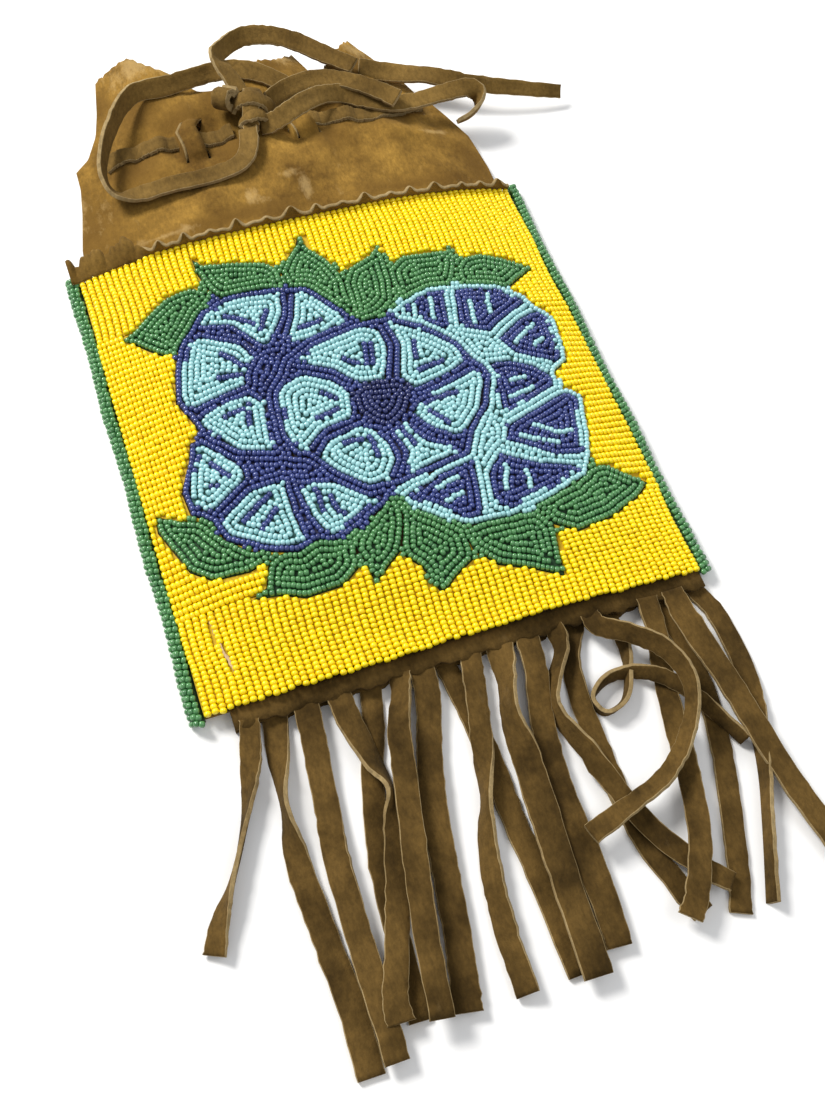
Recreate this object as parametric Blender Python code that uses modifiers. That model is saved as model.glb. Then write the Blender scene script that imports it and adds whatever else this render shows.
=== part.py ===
"""Beaded medicine bag: a flat suede pouch with a beaded front, a drawstring cuff and a cut fringe.

It lies on its back. +Y runs from the fringe to the mouth, +Z is up, and the origin is the middle of
the beaded square, on the surface that the bag lies on. Plain numbers below are millimetres.
"""
import math

import bmesh
import bpy
from mathutils import Matrix, Vector

MM = 0.001

# Driving dimensions
PANEL_WIDTH = 150.0
LANES = 71
LANE_DEPTH = 0.7
PANEL_BOTTOM = -77.3
PANEL_TOP = 77.0
LEATHER = 1.3
BEAD_HEIGHT = 1.8
RIM_BEAD_MIDDLE = 4.0
RISE_AT_FRINGE = 3.4
RISE_AT_MOUTH = 8.0
RISE_LENGTH = 35.0
GAP = 0.3
EDGE_BEAD_WIDTH = 4.4
EDGE_BEAD_DEPTH = 4.8
EDGE_OVERRUN = 2.6
THONG_WIDTH = 6.6
THONG_THICKNESS = 1.4
FRINGE_THICKNESS = 1.3
FRINGE_BAND = 6.0
SLIT = 0.9
BRIDGE_WIDTH = 7.6
BRIDGE_LIFT = 4.6
SLIT_BOTTOM = 113.0
SLIT_TOP = 131.0
CUFF_ROWS = (0, 0.16, 0.3, 0.42, 0.5, 0.58, 0.66, 0.76, 0.88, 1)
SLIT_ROWS = (3, 6)
BRIDGES = (-27.0, 12.5)
CUFF_RISE = 8.6
CUFF_RIM = 3.0
RUFFLE_HEIGHT = 5.2

# Lines across the crowned front where its facets meet
FACET_X = (-67.0, -57.0, -45.0, -30.0, -15.0, 0.0, 15.0, 30.0, 45.0, 57.0, 67.0)
FACET_Y = (-68.0, -60.0, -50.0, -42.0)

SUEDE = ("suede_brown", (0.19, 0.115, 0.045), 0.95)
SUEDE_DARK = ("suede_shadow", (0.12, 0.072, 0.028), 0.95)
YELLOW = ("bead_yellow", (0.90, 0.66, 0.01), 0.3)
GREEN = ("bead_green", (0.035, 0.20, 0.075), 0.3)
LIGHT_BLUE = ("bead_light_blue", (0.32, 0.68, 0.76), 0.3)
NAVY = ("bead_navy", (0.03, 0.04, 0.22), 0.3)

# Outlines of the beadwork, as x, y pairs read round each shape
LEAVES_TOP = [
    [(-67.5, 48.9), (-62.2, 50.3), (-59, 53.2), (-50.6, 58.4), (-42.2, 59.2), (-35.9, 54.7), (-42.2, 48.4),
     (-48.5, 42.1), (-52.7, 37.4), (-55.9, 37.1), (-60.1, 41.3), (-65.1, 47.1)],
    [(-38.9, 70.3), (-36.4, 66.8), (-26.4, 64.7), (-16.9, 61.6), (-13.6, 57.8), (-14.3, 50.5), (-20.1, 52.1),
     (-34.8, 52.9), (-37.2, 57.9), (-38.6, 64)],
    [(-3.6, 70.2), (-5.1, 66.3), (-10.1, 61.1), (-13, 56.8), (-12.7, 50), (-6.4, 47.9), (-2.2, 42.1), (3.7, 33.7),
     (5, 50.5), (2.6, 57.4), (-2.2, 64.2)],
    [(20.7, 59.2), (20.6, 53.7), (19.7, 43.2), (17.9, 35.3), (11.6, 31.3), (5.3, 30.8), (3.9, 33.7), (5, 47.4),
     (8.4, 52.4), (16.3, 55.3)],
    [(20.3, 48.4), (26.3, 52.6), (33.2, 52.1), (44.8, 51.5), (42.1, 43.2), (37.9, 36.3), (31.1, 38.2),
     (21.1, 35.3), (19.9, 42)],
    [(68.6, 40.4), (61.6, 44.7), (52.6, 48.4), (45.8, 47.4), (43.2, 44.5), (41.6, 36.8), (57.4, 33.4),
     (62.6, 36.8)],
]
LEAVES_BOTTOM = [
    [(-72.6, -15), (-65.9, -19.5), (-60.1, -22.1), (-56.9, -28.4), (-51.2, -35.3), (-44.3, -40), (-51.7, -42.1),
     (-62.2, -40.8), (-67.5, -35.8), (-70.1, -28.4), (-73, -20)],
    [(-52.9, -50.6), (-48.6, -48.6), (-45.9, -41.6), (-42.2, -40.3), (-30.6, -39.2), (-21.4, -42.1),
     (-22.2, -50.5), (-28, -54.5), (-39.1, -54.7), (-45.4, -51.8)],
    [(-19, -57), (-19.6, -50.5), (-21.2, -44.7), (-16.4, -39.5), (-5.1, -32.1), (-5.4, -40), (-9.6, -49.5),
     (-14.8, -53.2)],
    [(-1.6, -64.9), (-4.8, -55.8), (-9.1, -50.5), (-5.9, -42.1), (-3.8, -36.8), (3.2, -41.1), (10.5, -48.9),
     (10.2, -57.4), (3.2, -61.1)],
    [(10.5, -48.9), (20, -47.4), (33.7, -48.9), (36.8, -54.2), (34.3, -69.3), (26.3, -65), (16.8, -61.1),
     (11.3, -55.3)],
    [(72.4, -46.9), (67.4, -43.7), (61.1, -38.7), (55.8, -38.7), (48.9, -43.2), (34.2, -46.8), (37.1, -53.7),
     (43.7, -57.6), (55.8, -55.8), (66.8, -51.1)],
]
FLOWERS = {
    "centre": [
        (-21.5, 22.5), (-12, 27.3), (3, 30.3), (14, 30.3), (24.2, 23.7), (32.1, 15.3), (34.4, 7.6), (37.3, 4.2),
        (37.8, 0), (33.1, -10), (25.2, -17.9), (21, -25.3), (6, -27.8), (-2, -29), (-12, -28.6), (-20, -20.5),
        (-25.5, -11.5), (-28.5, -11.3), (-31, -3.5), (-29.3, 12.2), (-23.5, 18.3)],
    "upper_left": [
        (-46.9, 43.2), (-42.2, 48.9), (-33.3, 52.4), (-17.5, 51.1), (-6.9, 48.2), (-2.7, 42.1), (3.4, 33.2),
        (3.6, 28), (-10, 20), (-25, 5), (-30, -7), (-34.5, -8.8), (-44.8, -4.9), (-52.7, 4.7), (-54.3, 11.6),
        (-57.2, 19.5), (-54.8, 30), (-51.2, 38.9)],
    "lower_left": [
        (-56.9, 4.4), (-52.7, 4.7), (-44, -5), (-28, -11), (-15, -20), (-3.5, -29), (-8, -33.7), (-17.5, -38.7),
        (-25.4, -41.1), (-31.2, -38.9), (-36.9, -41.1), (-46.4, -37.4), (-55.4, -30.5), (-57.5, -23.2),
        (-62.7, -18.4), (-63.3, -10.5), (-58.5, -1.1)],
    "upper_right": [
        (11.6, 30), (21.1, 35), (31.1, 37.9), (42.1, 36.8), (52.6, 34.7), (61.1, 29.5), (62.6, 25.3),
        (67.9, 19.5), (66.8, 10), (65.3, 1.6), (58.9, -2.1), (58.4, -8.6), (50, -11.8), (36.5, -16.5), (20, 0),
        (15, 20)],
    "lower_right": [
        (-5.3, -32.1), (5.3, -29.2), (13.2, -26.8), (20, -20), (30, -12), (45, -12), (60.5, -9.2), (64.5, -12.6),
        (60, -27.4), (57.4, -34.7), (53.2, -40.8), (38.9, -45.5), (26.8, -48.2), (12.6, -47.6), (6.3, -43.7),
        (-1.1, -37.4)],
}
PETALS = {
    "centre": [
        [(-19.5, 21.6), (-13.7, 25.3), (4.2, 28.7), (9.4, 26.3), (9.9, 18.9), (5.2, 7.6), (-2.7, 8.9),
         (-8.5, 15.8), (-16.4, 20.3)],
        [(13.6, 27.9), (24.2, 20.5), (31, 13.7), (32.1, 7.9), (24.2, 4.2), (13.6, 2.1), (10.5, 7.4),
         (14.7, 18.9)],
        [(9.9, -6.3), (16.8, -1.6), (34.2, 3.2), (36, 1.6), (29.9, -10.5), (22.6, -17.1), (19.4, -17.4),
         (12.6, -11.6)],
        [(-25.8, 14.2), (-18.5, 16.3), (-10.6, 11.6), (-6.4, 5.8), (-8.5, -2.6), (-17.9, -3.7), (-25.3, -9.5),
         (-27.2, -9.5), (-29.5, 0), (-27.7, 11.6)],
        [(-22.2, -13.7), (-17.9, -8.9), (-6.4, -6.6), (-1.6, -13.7), (-0.8, -20.5), (-5.3, -26.3),
         (-11.1, -26.6), (-17.9, -20)],
        [(2.6, -11.6), (4.2, -19.5), (0.2, -26.6), (12.6, -24.2), (19.8, -23), (9.9, -17.4), (5.7, -10)],
    ],
    "upper_left": [
        [(-43.8, 44.7), (-38, 50), (-27.5, 50.5), (-16.4, 48.7), (-17.5, 41.1), (-24.8, 31.1), (-26.7, 31.1),
         (-33.3, 41.1)],
        [(-11.7, 46.3), (-6.4, 45.8), (-2.2, 37.9), (1.3, 33.7), (-10.6, 28.9), (-19.5, 29.5), (-14.8, 37.4)],
        [(-50.1, 38.4), (-44.3, 39.7), (-33.3, 32.6), (-31, 27.4), (-35.4, 22.1), (-36, 18.4), (-53.3, 15.8),
         (-55.4, 20.6), (-52.7, 31.1)],
        [(-52.7, 10.5), (-46.4, 13.4), (-35.9, 14.2), (-32.5, 9.5), (-33.8, 0), (-34.8, -6.8), (-43.8, -3.2),
         (-48.5, 3.7)],
    ],
    "lower_left": [
        [(-56.9, 1.5), (-54, 3), (-50.6, -1.6), (-45.1, -9.4), (-45, -12.8), (-56.9, -20), (-61.9, -15),
         (-59.6, -6.3)],
        [(-55.9, -24.7), (-44.3, -17.9), (-34.8, -17.9), (-35.1, -27.4), (-34.3, -38.7), (-42.2, -37.6),
         (-53.8, -29.5)],
        [(-30.6, -20.8), (-21.2, -22.6), (-13.8, -29.5), (-8.8, -32.6), (-20.1, -38.7), (-26.9, -38.9),
         (-29.8, -31.6)],
    ],
    "upper_right": [
        [(14.2, 30.5), (23.7, 35.3), (34.7, 36.3), (31.6, 19.5), (26.3, 24.7)],
        [(38.9, 35.3), (47.4, 35.3), (56.8, 32.1), (61.1, 26.8), (47.4, 19.5), (44.2, 16.8), (35.3, 20.5)],
        [(46.3, 13.2), (55.8, 19.5), (63.7, 22.4), (66.6, 17.4), (65.8, 7), (62.1, 1.1), (49.5, 6.8)],
        [(38.9, 4.7), (46.3, 4.2), (53.2, 0.5), (57.9, -5.3), (55.8, -7.9), (36.8, -15.3), (38.4, -5.8)],
    ],
    "lower_right": [
        [(36.3, -18.9), (45.3, -15.8), (59.5, -10.5), (62.6, -13.7), (57.1, -33.7), (47.4, -32.1),
         (34.2, -23.7)],
        [(30, -27.9), (40, -33.7), (53.2, -37.9), (48.4, -42.1), (27.4, -46.8), (22.4, -43.2), (24.2, -33.7)],
        [(-2.7, -32.3), (5.3, -30), (21.1, -27.9), (19.2, -38.9), (17.4, -45.8), (10, -45.8), (1.6, -37.9)],
    ],
}
FIELD_COLOURS = {
    "centre": (NAVY, LIGHT_BLUE),
    "upper_left": (NAVY, LIGHT_BLUE),
    "lower_left": (NAVY, LIGHT_BLUE),
    "upper_right": (LIGHT_BLUE, NAVY),
    "lower_right": (LIGHT_BLUE, NAVY),
}
LANE_AXIS = {"ground_top": 0, "ground_bottom": 0, "ground_left": 1, "ground_right": 1}
LANES_START_LEFT = 50.5
LANES_START_RIGHT = 26.0
ROWS_END = -49.5
HEART = [(-6, 4.6), (-3.7, 6.8), (0, 7), (3.4, 6.2), (8, 5.6), (11.4, 3), (11.6, 0), (7.6, -5.6), (3.6, -8.6),
         (0.5, -9), (-3, -6.4), (-6, -2)]

# Cuff: half width and rim notch along its length, then the ragged top edge from left to right
CUFF_SIDES = [(78.0, -72.0, 72.6), (90.0, -71.4, 73.0), (106.0, -68.0, 71.6), (117.0, -66.2, 67.4),
              (125.0, -66.0, 64.0), (130.0, -60.8, 60.6), (140.0, -56.0, 57.0), (150.0, -53.4, 53.0),
              (168.0, -50.0, 46.0)]
CUFF_TOP = [(-54.0, 162.0), (-49.5, 166.5), (-42.0, 168.2), (-36.9, 167.6), (-31.0, 160.0), (-25.0, 156.4),
            (-17.0, 144.8), (-9.0, 142.0), (-2.0, 144.0), (4.0, 149.6), (12.0, 151.2), (20.6, 156.0),
            (23.0, 145.0), (26.0, 143.6), (33.0, 149.6), (38.0, 155.0), (43.0, 160.4), (47.0, 155.5),
            (51.0, 150.5), (55.0, 147.5)]

# Fringe strips: half width, heights above the surface and a route of x, y, z points
FRINGE_FRONT = [
    (2.8, [(-63.8, -80, 3.2), (-65.5, -90, 2.2), (-69, -101, 1.6), (-74, -112, 1.6), (-79.5, -122, 1.6),
           (-84.5, -130, 1.6), (-88.5, -138, 1.6)]),
    (3.5, [(-47.8, -80, 3.6), (-49, -95, 3.0), (-51, -112, 2.4), (-52.5, -124, 2.4), (-53.2, -140, 3.6),
           (-53.4, -158, 3.6), (-53.6, -176, 3.6)]),
    (3.4, [(-38.6, -80, 3.8), (-37.8, -92, 3.4), (-35.5, -104, 3.2), (-33, -113, 4.0), (-35.6, -123, 4.2),
           (-40.5, -138, 4.2), (-45.6, -152, 4.2), (-49.4, -162, 4.2), (-50, -168, 4.2)]),
    (3.0, [(-20.6, -80, 3.9), (-22, -88, 3.5), (-26.2, -98, 5.6), (-29.5, -112, 6.2), (-33, -128, 7.0),
           (-36.6, -146, 6.6), (-40.5, -170.5, 6.4)]),
    (3.6, [(-14, -80, 3.9), (-15.6, -92, 3.2), (-19.5, -104, 2.6), (-23.5, -118, 2.6), (-26.5, -134, 2.6),
           (-29, -150, 2.6), (-31.8, -163, 2.6), (-33.4, -171, 2.6)]),
    (3.0, [(0.5, -80, 3.9), (-1.6, -92, 3.2), (-5, -106, 2.6), (-8.6, -119, 2.6), (-13.2, -131, 2.6),
           (-16.2, -144, 2.6), (-17.6, -158, 2.6), (-17.8, -172, 2.6)]),
    (3.6, [(9.2, -80, 3.9), (7.6, -92, 4.0), (4.4, -103, 4.4), (4, -116, 4.4), (2.8, -134, 4.4),
           (1.6, -150, 4.4), (0.4, -174, 4.4)]),
    (3.6, [(17.6, -80, 3.9), (16.6, -92, 3.4), (13, -106, 2.6), (10.2, -122, 2.6), (9.8, -140, 2.6),
           (9.6, -156, 2.6), (8.6, -169, 2.6)]),
    (2.8, [(26, -80, 3.9), (25.6, -89, 3.6), (19, -98, 3.2), (17.4, -106, 3.2), (21, -118, 3.4),
           (24.6, -132, 3.4), (30, -146, 3.4), (38, -158, 3.4), (43.6, -164, 3.4)]),
    (2.8, [(37.6, -80, 3.8), (38.6, -87, 5.6), (46, -92.5, 8.0), (52.6, -100, 9.0), (55.2, -109, 9.4),
           (52.6, -118, 8.8), (45.6, -127, 8.0), (37, -133.4, 7.2), (25, -137.4, 6.6), (12, -141, 6.2)]),
    (3.2, [(56, -80, 3.8), (54.8, -92, 3.0), (51.4, -104, 2.2), (48.6, -118, 2.2), (45, -134, 2.2),
           (40, -150, 2.2), (33, -163, 2.2), (28.4, -168.4, 2.2)]),
    (3.4, [(64.2, -80, 3.4), (64.4, -92, 4.4), (66.4, -107, 4.8), (68.6, -124, 4.6), (71, -142, 3.8),
           (75, -160, 2.6), (78.6, -173, 1.6)]),
]
FRINGE_BACK = [
    (3.6, [(-56.4, -80, 0.7), (-59, -94, 0.7), (-61.4, -108, 0.7), (-62.2, -124, 0.7), (-61.2, -142, 0.7),
           (-60, -160, 0.7), (-60.4, -177, 0.7)]),
    (3.0, [(-29, -80, 0.7), (-32, -94, 0.7), (-37, -108, 0.7), (-40.5, -122, 0.7), (-43, -136, 0.7),
           (-43.8, -150, 0.7), (-45, -169, 0.7)]),
    (3.0, [(-7, -80, 0.7), (-5.4, -96, 0.7), (-4.6, -112, 0.7), (-4.6, -128, 0.7), (-3.6, -148, 0.7),
           (-3.4, -172, 0.7)]),
    (3.0, [(34, -80, 0.7), (28, -92, 0.7), (25.6, -106, 0.7), (25.4, -120, 0.7), (25.6, -136, 0.7),
           (28, -152, 0.7), (33.6, -168.4, 0.7)]),
    (2.2, [(43.4, -80, 0.7), (44.8, -88, 0.7), (43, -98, 0.7), (38, -108, 0.7), (31, -110.4, 0.7),
           (29, -105.4, 0.7), (35, -101.4, 0.7), (42.6, -101.8, 2.2), (50, -106.2, 4.6), (56, -113.4, 4.6),
           (61, -122, 3.4), (65, -130, 2.4)]),
    (3.0, [(59.6, -80, 0.7), (61.4, -96, 0.7), (61.6, -112, 0.7), (58.6, -128, 0.7), (53.6, -144, 0.7),
           (48, -160, 0.7), (43, -171.6, 0.7)]),
    (3.0, [(71.6, -80, 0.7), (75.0, -92, 0.7), (75.4, -108, 0.7), (72.6, -122, 0.7), (67, -138, 0.7),
           (60, -154, 0.7), (52, -172, 0.7)]),
]
BAND_EDGE_LEFT = -68.0
BAND_EDGE_RIGHT = 75.0

# Thong routes: x, y, height above what it lies on, and the turn of its flat face in degrees
LOOP_LEFT = [(-6.4, 118.3, 2.7, 20), (-8.6, 110.1, 2.3, 12), (-13.5, 104.1, 1.9, 5),
             (-24.4, 102.1, 1.7, 0), (-36.6, 102.8, 1.8, 0), (-48.3, 102.8, 2.1, 5),
             (-55.2, 103.2, 4.2, 40), (-58.3, 108.3, 6.7, 70), (-57.8, 115.2, 8, 80),
             (-54.4, 124.6, 7.8, 78), (-49.9, 133.5, 8.2, 75), (-44.8, 141.2, 7.2, 70),
             (-38.6, 146.2, 4.7, 55), (-27.5, 146.8, 2.5, 45), (-17.9, 148.3, 3, 40),
             (-10.6, 149.1, 2.7, 35), (-3.3, 147.6, 2.4, 30), (3.4, 143.7, 2.1, 25),
             (8.3, 139.7, 1.7, 15)]
STRAND_TOP = [(-5.3, 133.5, 4.8, 10), (-6.3, 138.1, 6.4, 15), (-8.4, 144.2, 8.4, 25),
              (-9.1, 150.6, 7.9, 60), (-3.5, 157.1, 4.9, 60), (2.5, 160.6, 3.5, 45),
              (9.5, 160.7, 3.2, 35), (16.2, 158.8, 3.8, 30), (22.5, 155.5, 4.2, 25),
              (28.2, 150.2, 4.2, 20), (33.8, 144.6, 4, 15), (38.7, 139.9, 4, 10)]
STRAND_SHORT = [(3.7, 127.6, 3.9, 40), (9.2, 131, 3.7, 35), (17.2, 134, 4.3, 25), (24.5, 134.6, 5, 15),
                (32.1, 132, 5.3, 10), (39.1, 127.2, 5.4, 10), (44.5, 121.7, 6.2, 15),
                (47.5, 117.8, 7, 25)]
LOOP_RIGHT = [(2.4, 117.9, 3.7, 35), (6.3, 117.5, 6.5, 30), (12.8, 120.3, 7.2, 28),
              (20.9, 125.1, 5.6, 32), (30.2, 127.7, 3, 30), (37.5, 123.9, 2.7, 20),
              (44.3, 120.5, 2.9, 12), (52.4, 119.1, 4.3, 8), (60.9, 119, 7.3, 8),
              (69.3, 118.5, 13.4, 15), (74.6, 117.8, 14, 30), (77.7, 115.1, 13, 60),
              (76.6, 111.7, 10.8, 70), (72.7, 110, 8.6, 60), (68.3, 109.8, 3.6, 50)]
TAIL_LONG = [(48.7, 140.3, 1.7, 25), (57.3, 136.1, 5, 15), (64.8, 132.5, 9.2, 10),
             (73.2, 127.7, 9.2, 35), (80.9, 124.3, 8.8, 45), (90.2, 121.4, 8, 45),
             (101.1, 118.8, 6.6, 45), (112, 117, 4.8, 40)]
THREADED_LEFT = [(-54, 123.4), (-44, 123.6), (-36, 123.2), (-27, 122.4), (-18, 121.8), (-11.4, 121.8)]
THREADED_RIGHT = [(20, 120.4), (28, 119.4), (34, 118.8), (39, 118.6)]
KNOT_CENTRE = (-3.4, 126.0)
KNOT_SIZE = (10.5, 14.0, 6.6)


def smooth(t):
    t = min(max(t, 0.0), 1.0)
    return t * t * (3 - 2 * t)


def between(table, x):
    """Straight-line value of an x, y table at x."""
    if x <= table[0][0]:
        return table[0][1]
    for (x0, y0), (x1, y1) in zip(table, table[1:]):
        if x <= x1:
            return y0 + (y1 - y0) * (x - x0) / (x1 - x0)
    return table[-1][1]


def bead_middle(x, y):
    """Height of the middle of the bead layer over the crowned front."""
    s = min(abs(x) / (PANEL_WIDTH / 2), 1.0)
    rise = RISE_AT_FRINGE + (RISE_AT_MOUTH - RISE_AT_FRINGE) * smooth((y - PANEL_BOTTOM) / RISE_LENGTH)
    return RIM_BEAD_MIDDLE + (1 - s**3) * rise


def cuff_side(y, right):
    return between([(row[0], row[2 if right else 1]) for row in CUFF_SIDES], y)


def cuff_top_surface(x, y):
    """Height of the upper face of the cuff's front, whose folds deepen towards the mouth."""
    left = cuff_side(y, False)
    right = cuff_side(y, True)
    s = (2 * x - left - right) / (right - left)
    if abs(s) >= 1:
        return 0.0
    fold = 1.1 * smooth((y - 108) / 40) * math.cos((x + 34) * 2 * math.pi / 40)
    return CUFF_RIM + (1 - abs(s) ** 2.6) * CUFF_RISE + fold * (1 - abs(s) ** 4)


def across(x):
    """A place across the bag: the tables above are drawn for a panel 150 mm wide, and follow its width."""
    return x / 150 * PANEL_WIDTH


def spread(outline):
    return [(across(x), y) for x, y in outline]


def material(finish):
    name, colour, roughness = finish
    found = bpy.data.materials.get(name)
    if found:
        return found
    made = bpy.data.materials.new(name)
    made.use_nodes = True
    shader = made.node_tree.nodes["Principled BSDF"]
    shader.inputs["Base Color"].default_value = (*colour, 1)
    shader.inputs["Roughness"].default_value = roughness
    return made


def clear_scene():
    for obj in list(bpy.data.objects):
        bpy.data.objects.remove(obj, do_unlink=True)


def collection(name):
    made = bpy.data.collections.new(name)
    bpy.context.scene.collection.children.link(made)
    return made


def add(name, mesh, finish):
    """A new part of the bag from a mesh in metres."""
    obj = bpy.data.objects.new(name, mesh)
    PARTS.objects.link(obj)
    mesh.materials.clear()
    mesh.materials.append(material(finish))
    return obj


def mesh_of(obj):
    """The object's shape with its modifiers applied, welded, as a mesh of its own."""
    bpy.context.view_layer.update()
    graph = bpy.context.evaluated_depsgraph_get()
    made = bpy.data.meshes.new_from_object(obj.evaluated_get(graph))
    build = bmesh.new()
    build.from_mesh(made)
    bmesh.ops.remove_doubles(build, verts=build.verts, dist=0.00002)
    build.to_mesh(made)
    build.free()
    return made


def grown(points, amount):
    """The outline moved out by an amount, square to its sides."""
    area = sum(a[0] * b[1] - b[0] * a[1] for a, b in zip(points, points[1:] + points[:1]))
    turn = 1 if area > 0 else -1
    out = []
    for i, point in enumerate(points):
        here = Vector(point)
        back = (here - Vector(points[i - 1])).normalized()
        ahead = (Vector(points[(i + 1) % len(points)]) - here).normalized()
        normal = Vector((back.y + ahead.y, -back.x - ahead.x)).normalized() * turn
        stretch = max(normal.dot(Vector((ahead.y, -ahead.x))) * turn, 0.5)
        out.append(tuple(here + normal * amount / stretch))
    return out


def prism(name, points, low, high):
    """A flat outline as a filled curve, extruded from low to high and made a mesh."""
    curve = bpy.data.curves.new(name, "CURVE")
    curve.dimensions = "2D"
    curve.fill_mode = "BOTH"
    curve.extrude = (high - low) / 2 * MM
    spline = curve.splines.new("POLY")
    spline.points.add(len(points) - 1)
    for slot, (x, y) in zip(spline.points, points):
        slot.co = (x * MM, y * MM, 0, 1)
    spline.use_cyclic_u = True
    obj = bpy.data.objects.new(name, curve)
    CUTTERS.objects.link(obj)
    mesh = mesh_of(obj)
    mesh.transform(Matrix.Translation((0, 0, (high + low) / 2 * MM)))
    bpy.data.objects.remove(obj)
    return mesh


def cutter(points):
    obj = bpy.data.objects.new("cutter", prism("cutter", grown(points, GAP), -6, 6))
    obj.hide_render = True
    obj.display_type = "WIRE"
    CUTTERS.objects.link(obj)
    return obj


def keep_largest(build):
    """Leaves only the mesh's largest island, so that slivers between motifs are dropped."""
    unseen = set(build.verts)
    islands = []
    while unseen:
        island = {unseen.pop()}
        edge = list(island)
        while edge:
            for link in edge.pop().link_edges:
                for vert in link.verts:
                    if vert in unseen:
                        unseen.discard(vert)
                        island.add(vert)
                        edge.append(vert)
        faces = {f for v in island for f in v.link_faces}
        islands.append((sum(f.calc_area() for f in faces), island))
    islands.sort(key=lambda pair: pair[0])
    for _, island in islands[:-1]:
        bmesh.ops.delete(build, geom=list(island), context="VERTS")


def field(name, outline, finish, above, lanes=None):
    """A field of beads: cut clear of the fields above it, then draped on the crowned front.

    One with lanes has a rib for each lane of beads, side by side along axis 0 or 1.
    """
    obj = bpy.data.objects.new(name, prism(name, outline, -0.9, 0.9))
    CUTTERS.objects.link(obj)
    for other in above:
        cut = obj.modifiers.new("clear", "BOOLEAN")
        cut.operation = "DIFFERENCE"
        cut.object = other
    mesh = mesh_of(obj)
    bpy.data.objects.remove(obj)
    build = bmesh.new()
    build.from_mesh(mesh)
    keep_largest(build)
    lane = PANEL_WIDTH / LANES
    folds = [(i - LANES) * lane / 2 for i in range(1, 2 * LANES)]
    facets = [[across(x) for x in FACET_X], FACET_Y]
    if lanes is not None:
        facets[lanes] = folds
    for axis, places in enumerate(facets):
        for place in places:
            normal = [0, 0, 0]
            normal[axis] = 1
            bmesh.ops.bisect_plane(
                build, geom=build.verts[:] + build.edges[:] + build.faces[:], dist=1e-6,
                plane_co=[n * place * MM for n in normal], plane_no=normal)
    bmesh.ops.triangulate(build, faces=build.faces)
    low = (GAP + 0.05 - (RIM_BEAD_MIDDLE - front_rim())) * MM
    for vert in build.verts:
        middle = bead_middle(vert.co.x / MM, vert.co.y / MM) * MM
        dip = 0
        if lanes is not None:
            dip = LANE_DEPTH * MM * abs(1 - (vert.co[lanes] / MM / lane + LANES / 2) % 1 * 2)
        vert.co.z = middle + (low if vert.co.z < 0 else low + BEAD_HEIGHT * MM - dip)
    build.to_mesh(mesh)
    build.free()
    return add(name, mesh, finish)


def front_rim():
    """Height of the front panel's upper face at its rim."""
    return 2 * LEATHER + GAP + 0.05


def beadwork():
    """All fields of beads, the top layer first, so that each is cut clear of those before it."""
    layers = []
    for flower, petals in PETALS.items():
        for i, outline in enumerate(petals):
            layers.append((f"{flower}_petal_{i + 1}", spread(outline), FIELD_COLOURS[flower][1]))
    layers.append(("centre_heart", spread(HEART), NAVY))
    for flower, outline in FLOWERS.items():
        layers.append((f"{flower}_flower", spread(outline), FIELD_COLOURS[flower][0]))
    for side, leaves in (("top", LEAVES_TOP), ("bottom", LEAVES_BOTTOM)):
        for i, outline in enumerate(leaves):
            layers.append((f"leaf_{side}_{i + 1}", spread(outline), GREEN))
    for name, outline in ground_outlines().items():
        layers.append((name, outline, YELLOW))
    above = []
    for name, outline, finish in layers:
        field(name, outline, finish, above, LANE_AXIS.get(name))
        above.append(cutter(outline))
    for obj in above:
        bpy.data.objects.remove(obj)


def ground_outlines():
    side = PANEL_WIDTH / 2
    low = PANEL_BOTTOM + 0.3
    high = PANEL_TOP - 0.6
    split = across(10.0)
    return {
        "ground_top": [(-side, LANES_START_LEFT), (split, LANES_START_LEFT), (split, LANES_START_RIGHT),
                       (side, LANES_START_RIGHT), (side, high), (-side, high)],
        "ground_right": [(split, LANES_START_RIGHT - GAP), (split, ROWS_END), (side, ROWS_END),
                         (side, LANES_START_RIGHT - GAP)],
        "ground_bottom": [(-side, ROWS_END - GAP), (-side, low), (side, low), (side, ROWS_END - GAP)],
        "ground_left": [(-side, LANES_START_LEFT - GAP), (-side, ROWS_END), (split - GAP, ROWS_END),
                        (split - GAP, LANES_START_LEFT - GAP)],
    }


def thicken(obj, thickness):
    """Gives an open surface its leather, below the surface as drawn."""
    shell = obj.modifiers.new("leather", "SOLIDIFY")
    shell.thickness = thickness * MM
    shell.offset = -1
    return obj


def panels():
    side = PANEL_WIDTH / 2
    back = [(-side, PANEL_BOTTOM), (side, PANEL_BOTTOM), (side, PANEL_TOP), (-side, PANEL_TOP)]
    add("back_panel", prism("back_panel", back, 0, LEATHER), SUEDE)
    columns = [-side, *(across(x) for x in FACET_X), side]
    rows = [PANEL_BOTTOM, *FACET_Y, -10.0, 30.0, PANEL_TOP]
    drop = RIM_BEAD_MIDDLE - front_rim()
    build = bmesh.new()
    for lift in (-LEATHER, 0):
        for y in rows:
            for x in columns:
                build.verts.new((x * MM, y * MM, (bead_middle(x, y) - drop + lift) * MM))
    build.verts.ensure_lookup_table()
    wide = len(columns)
    layer = wide * len(rows)
    for j in range(len(rows) - 1):
        for i in range(wide - 1):
            corner = [j * wide + i, j * wide + i + 1, (j + 1) * wide + i + 1, (j + 1) * wide + i]
            build.faces.new([build.verts[k + layer] for k in corner])
            build.faces.new([build.verts[k] for k in reversed(corner)])
    walls = [(i, i + 1) for i in range(wide - 1)]
    walls += [((j + 1) * wide - 1, (j + 2) * wide - 1) for j in range(len(rows) - 1)]
    walls += [(layer - 1 - i, layer - 2 - i) for i in range(wide - 1)]
    walls += [((j + 1) * wide, j * wide) for j in range(len(rows) - 1)]
    for a, b in walls:
        build.faces.new([build.verts[k] for k in (a, b, b + layer, a + layer)])
    mesh = bpy.data.meshes.new("front_panel")
    build.to_mesh(mesh)
    build.free()
    add("front_panel", mesh, SUEDE)


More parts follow.
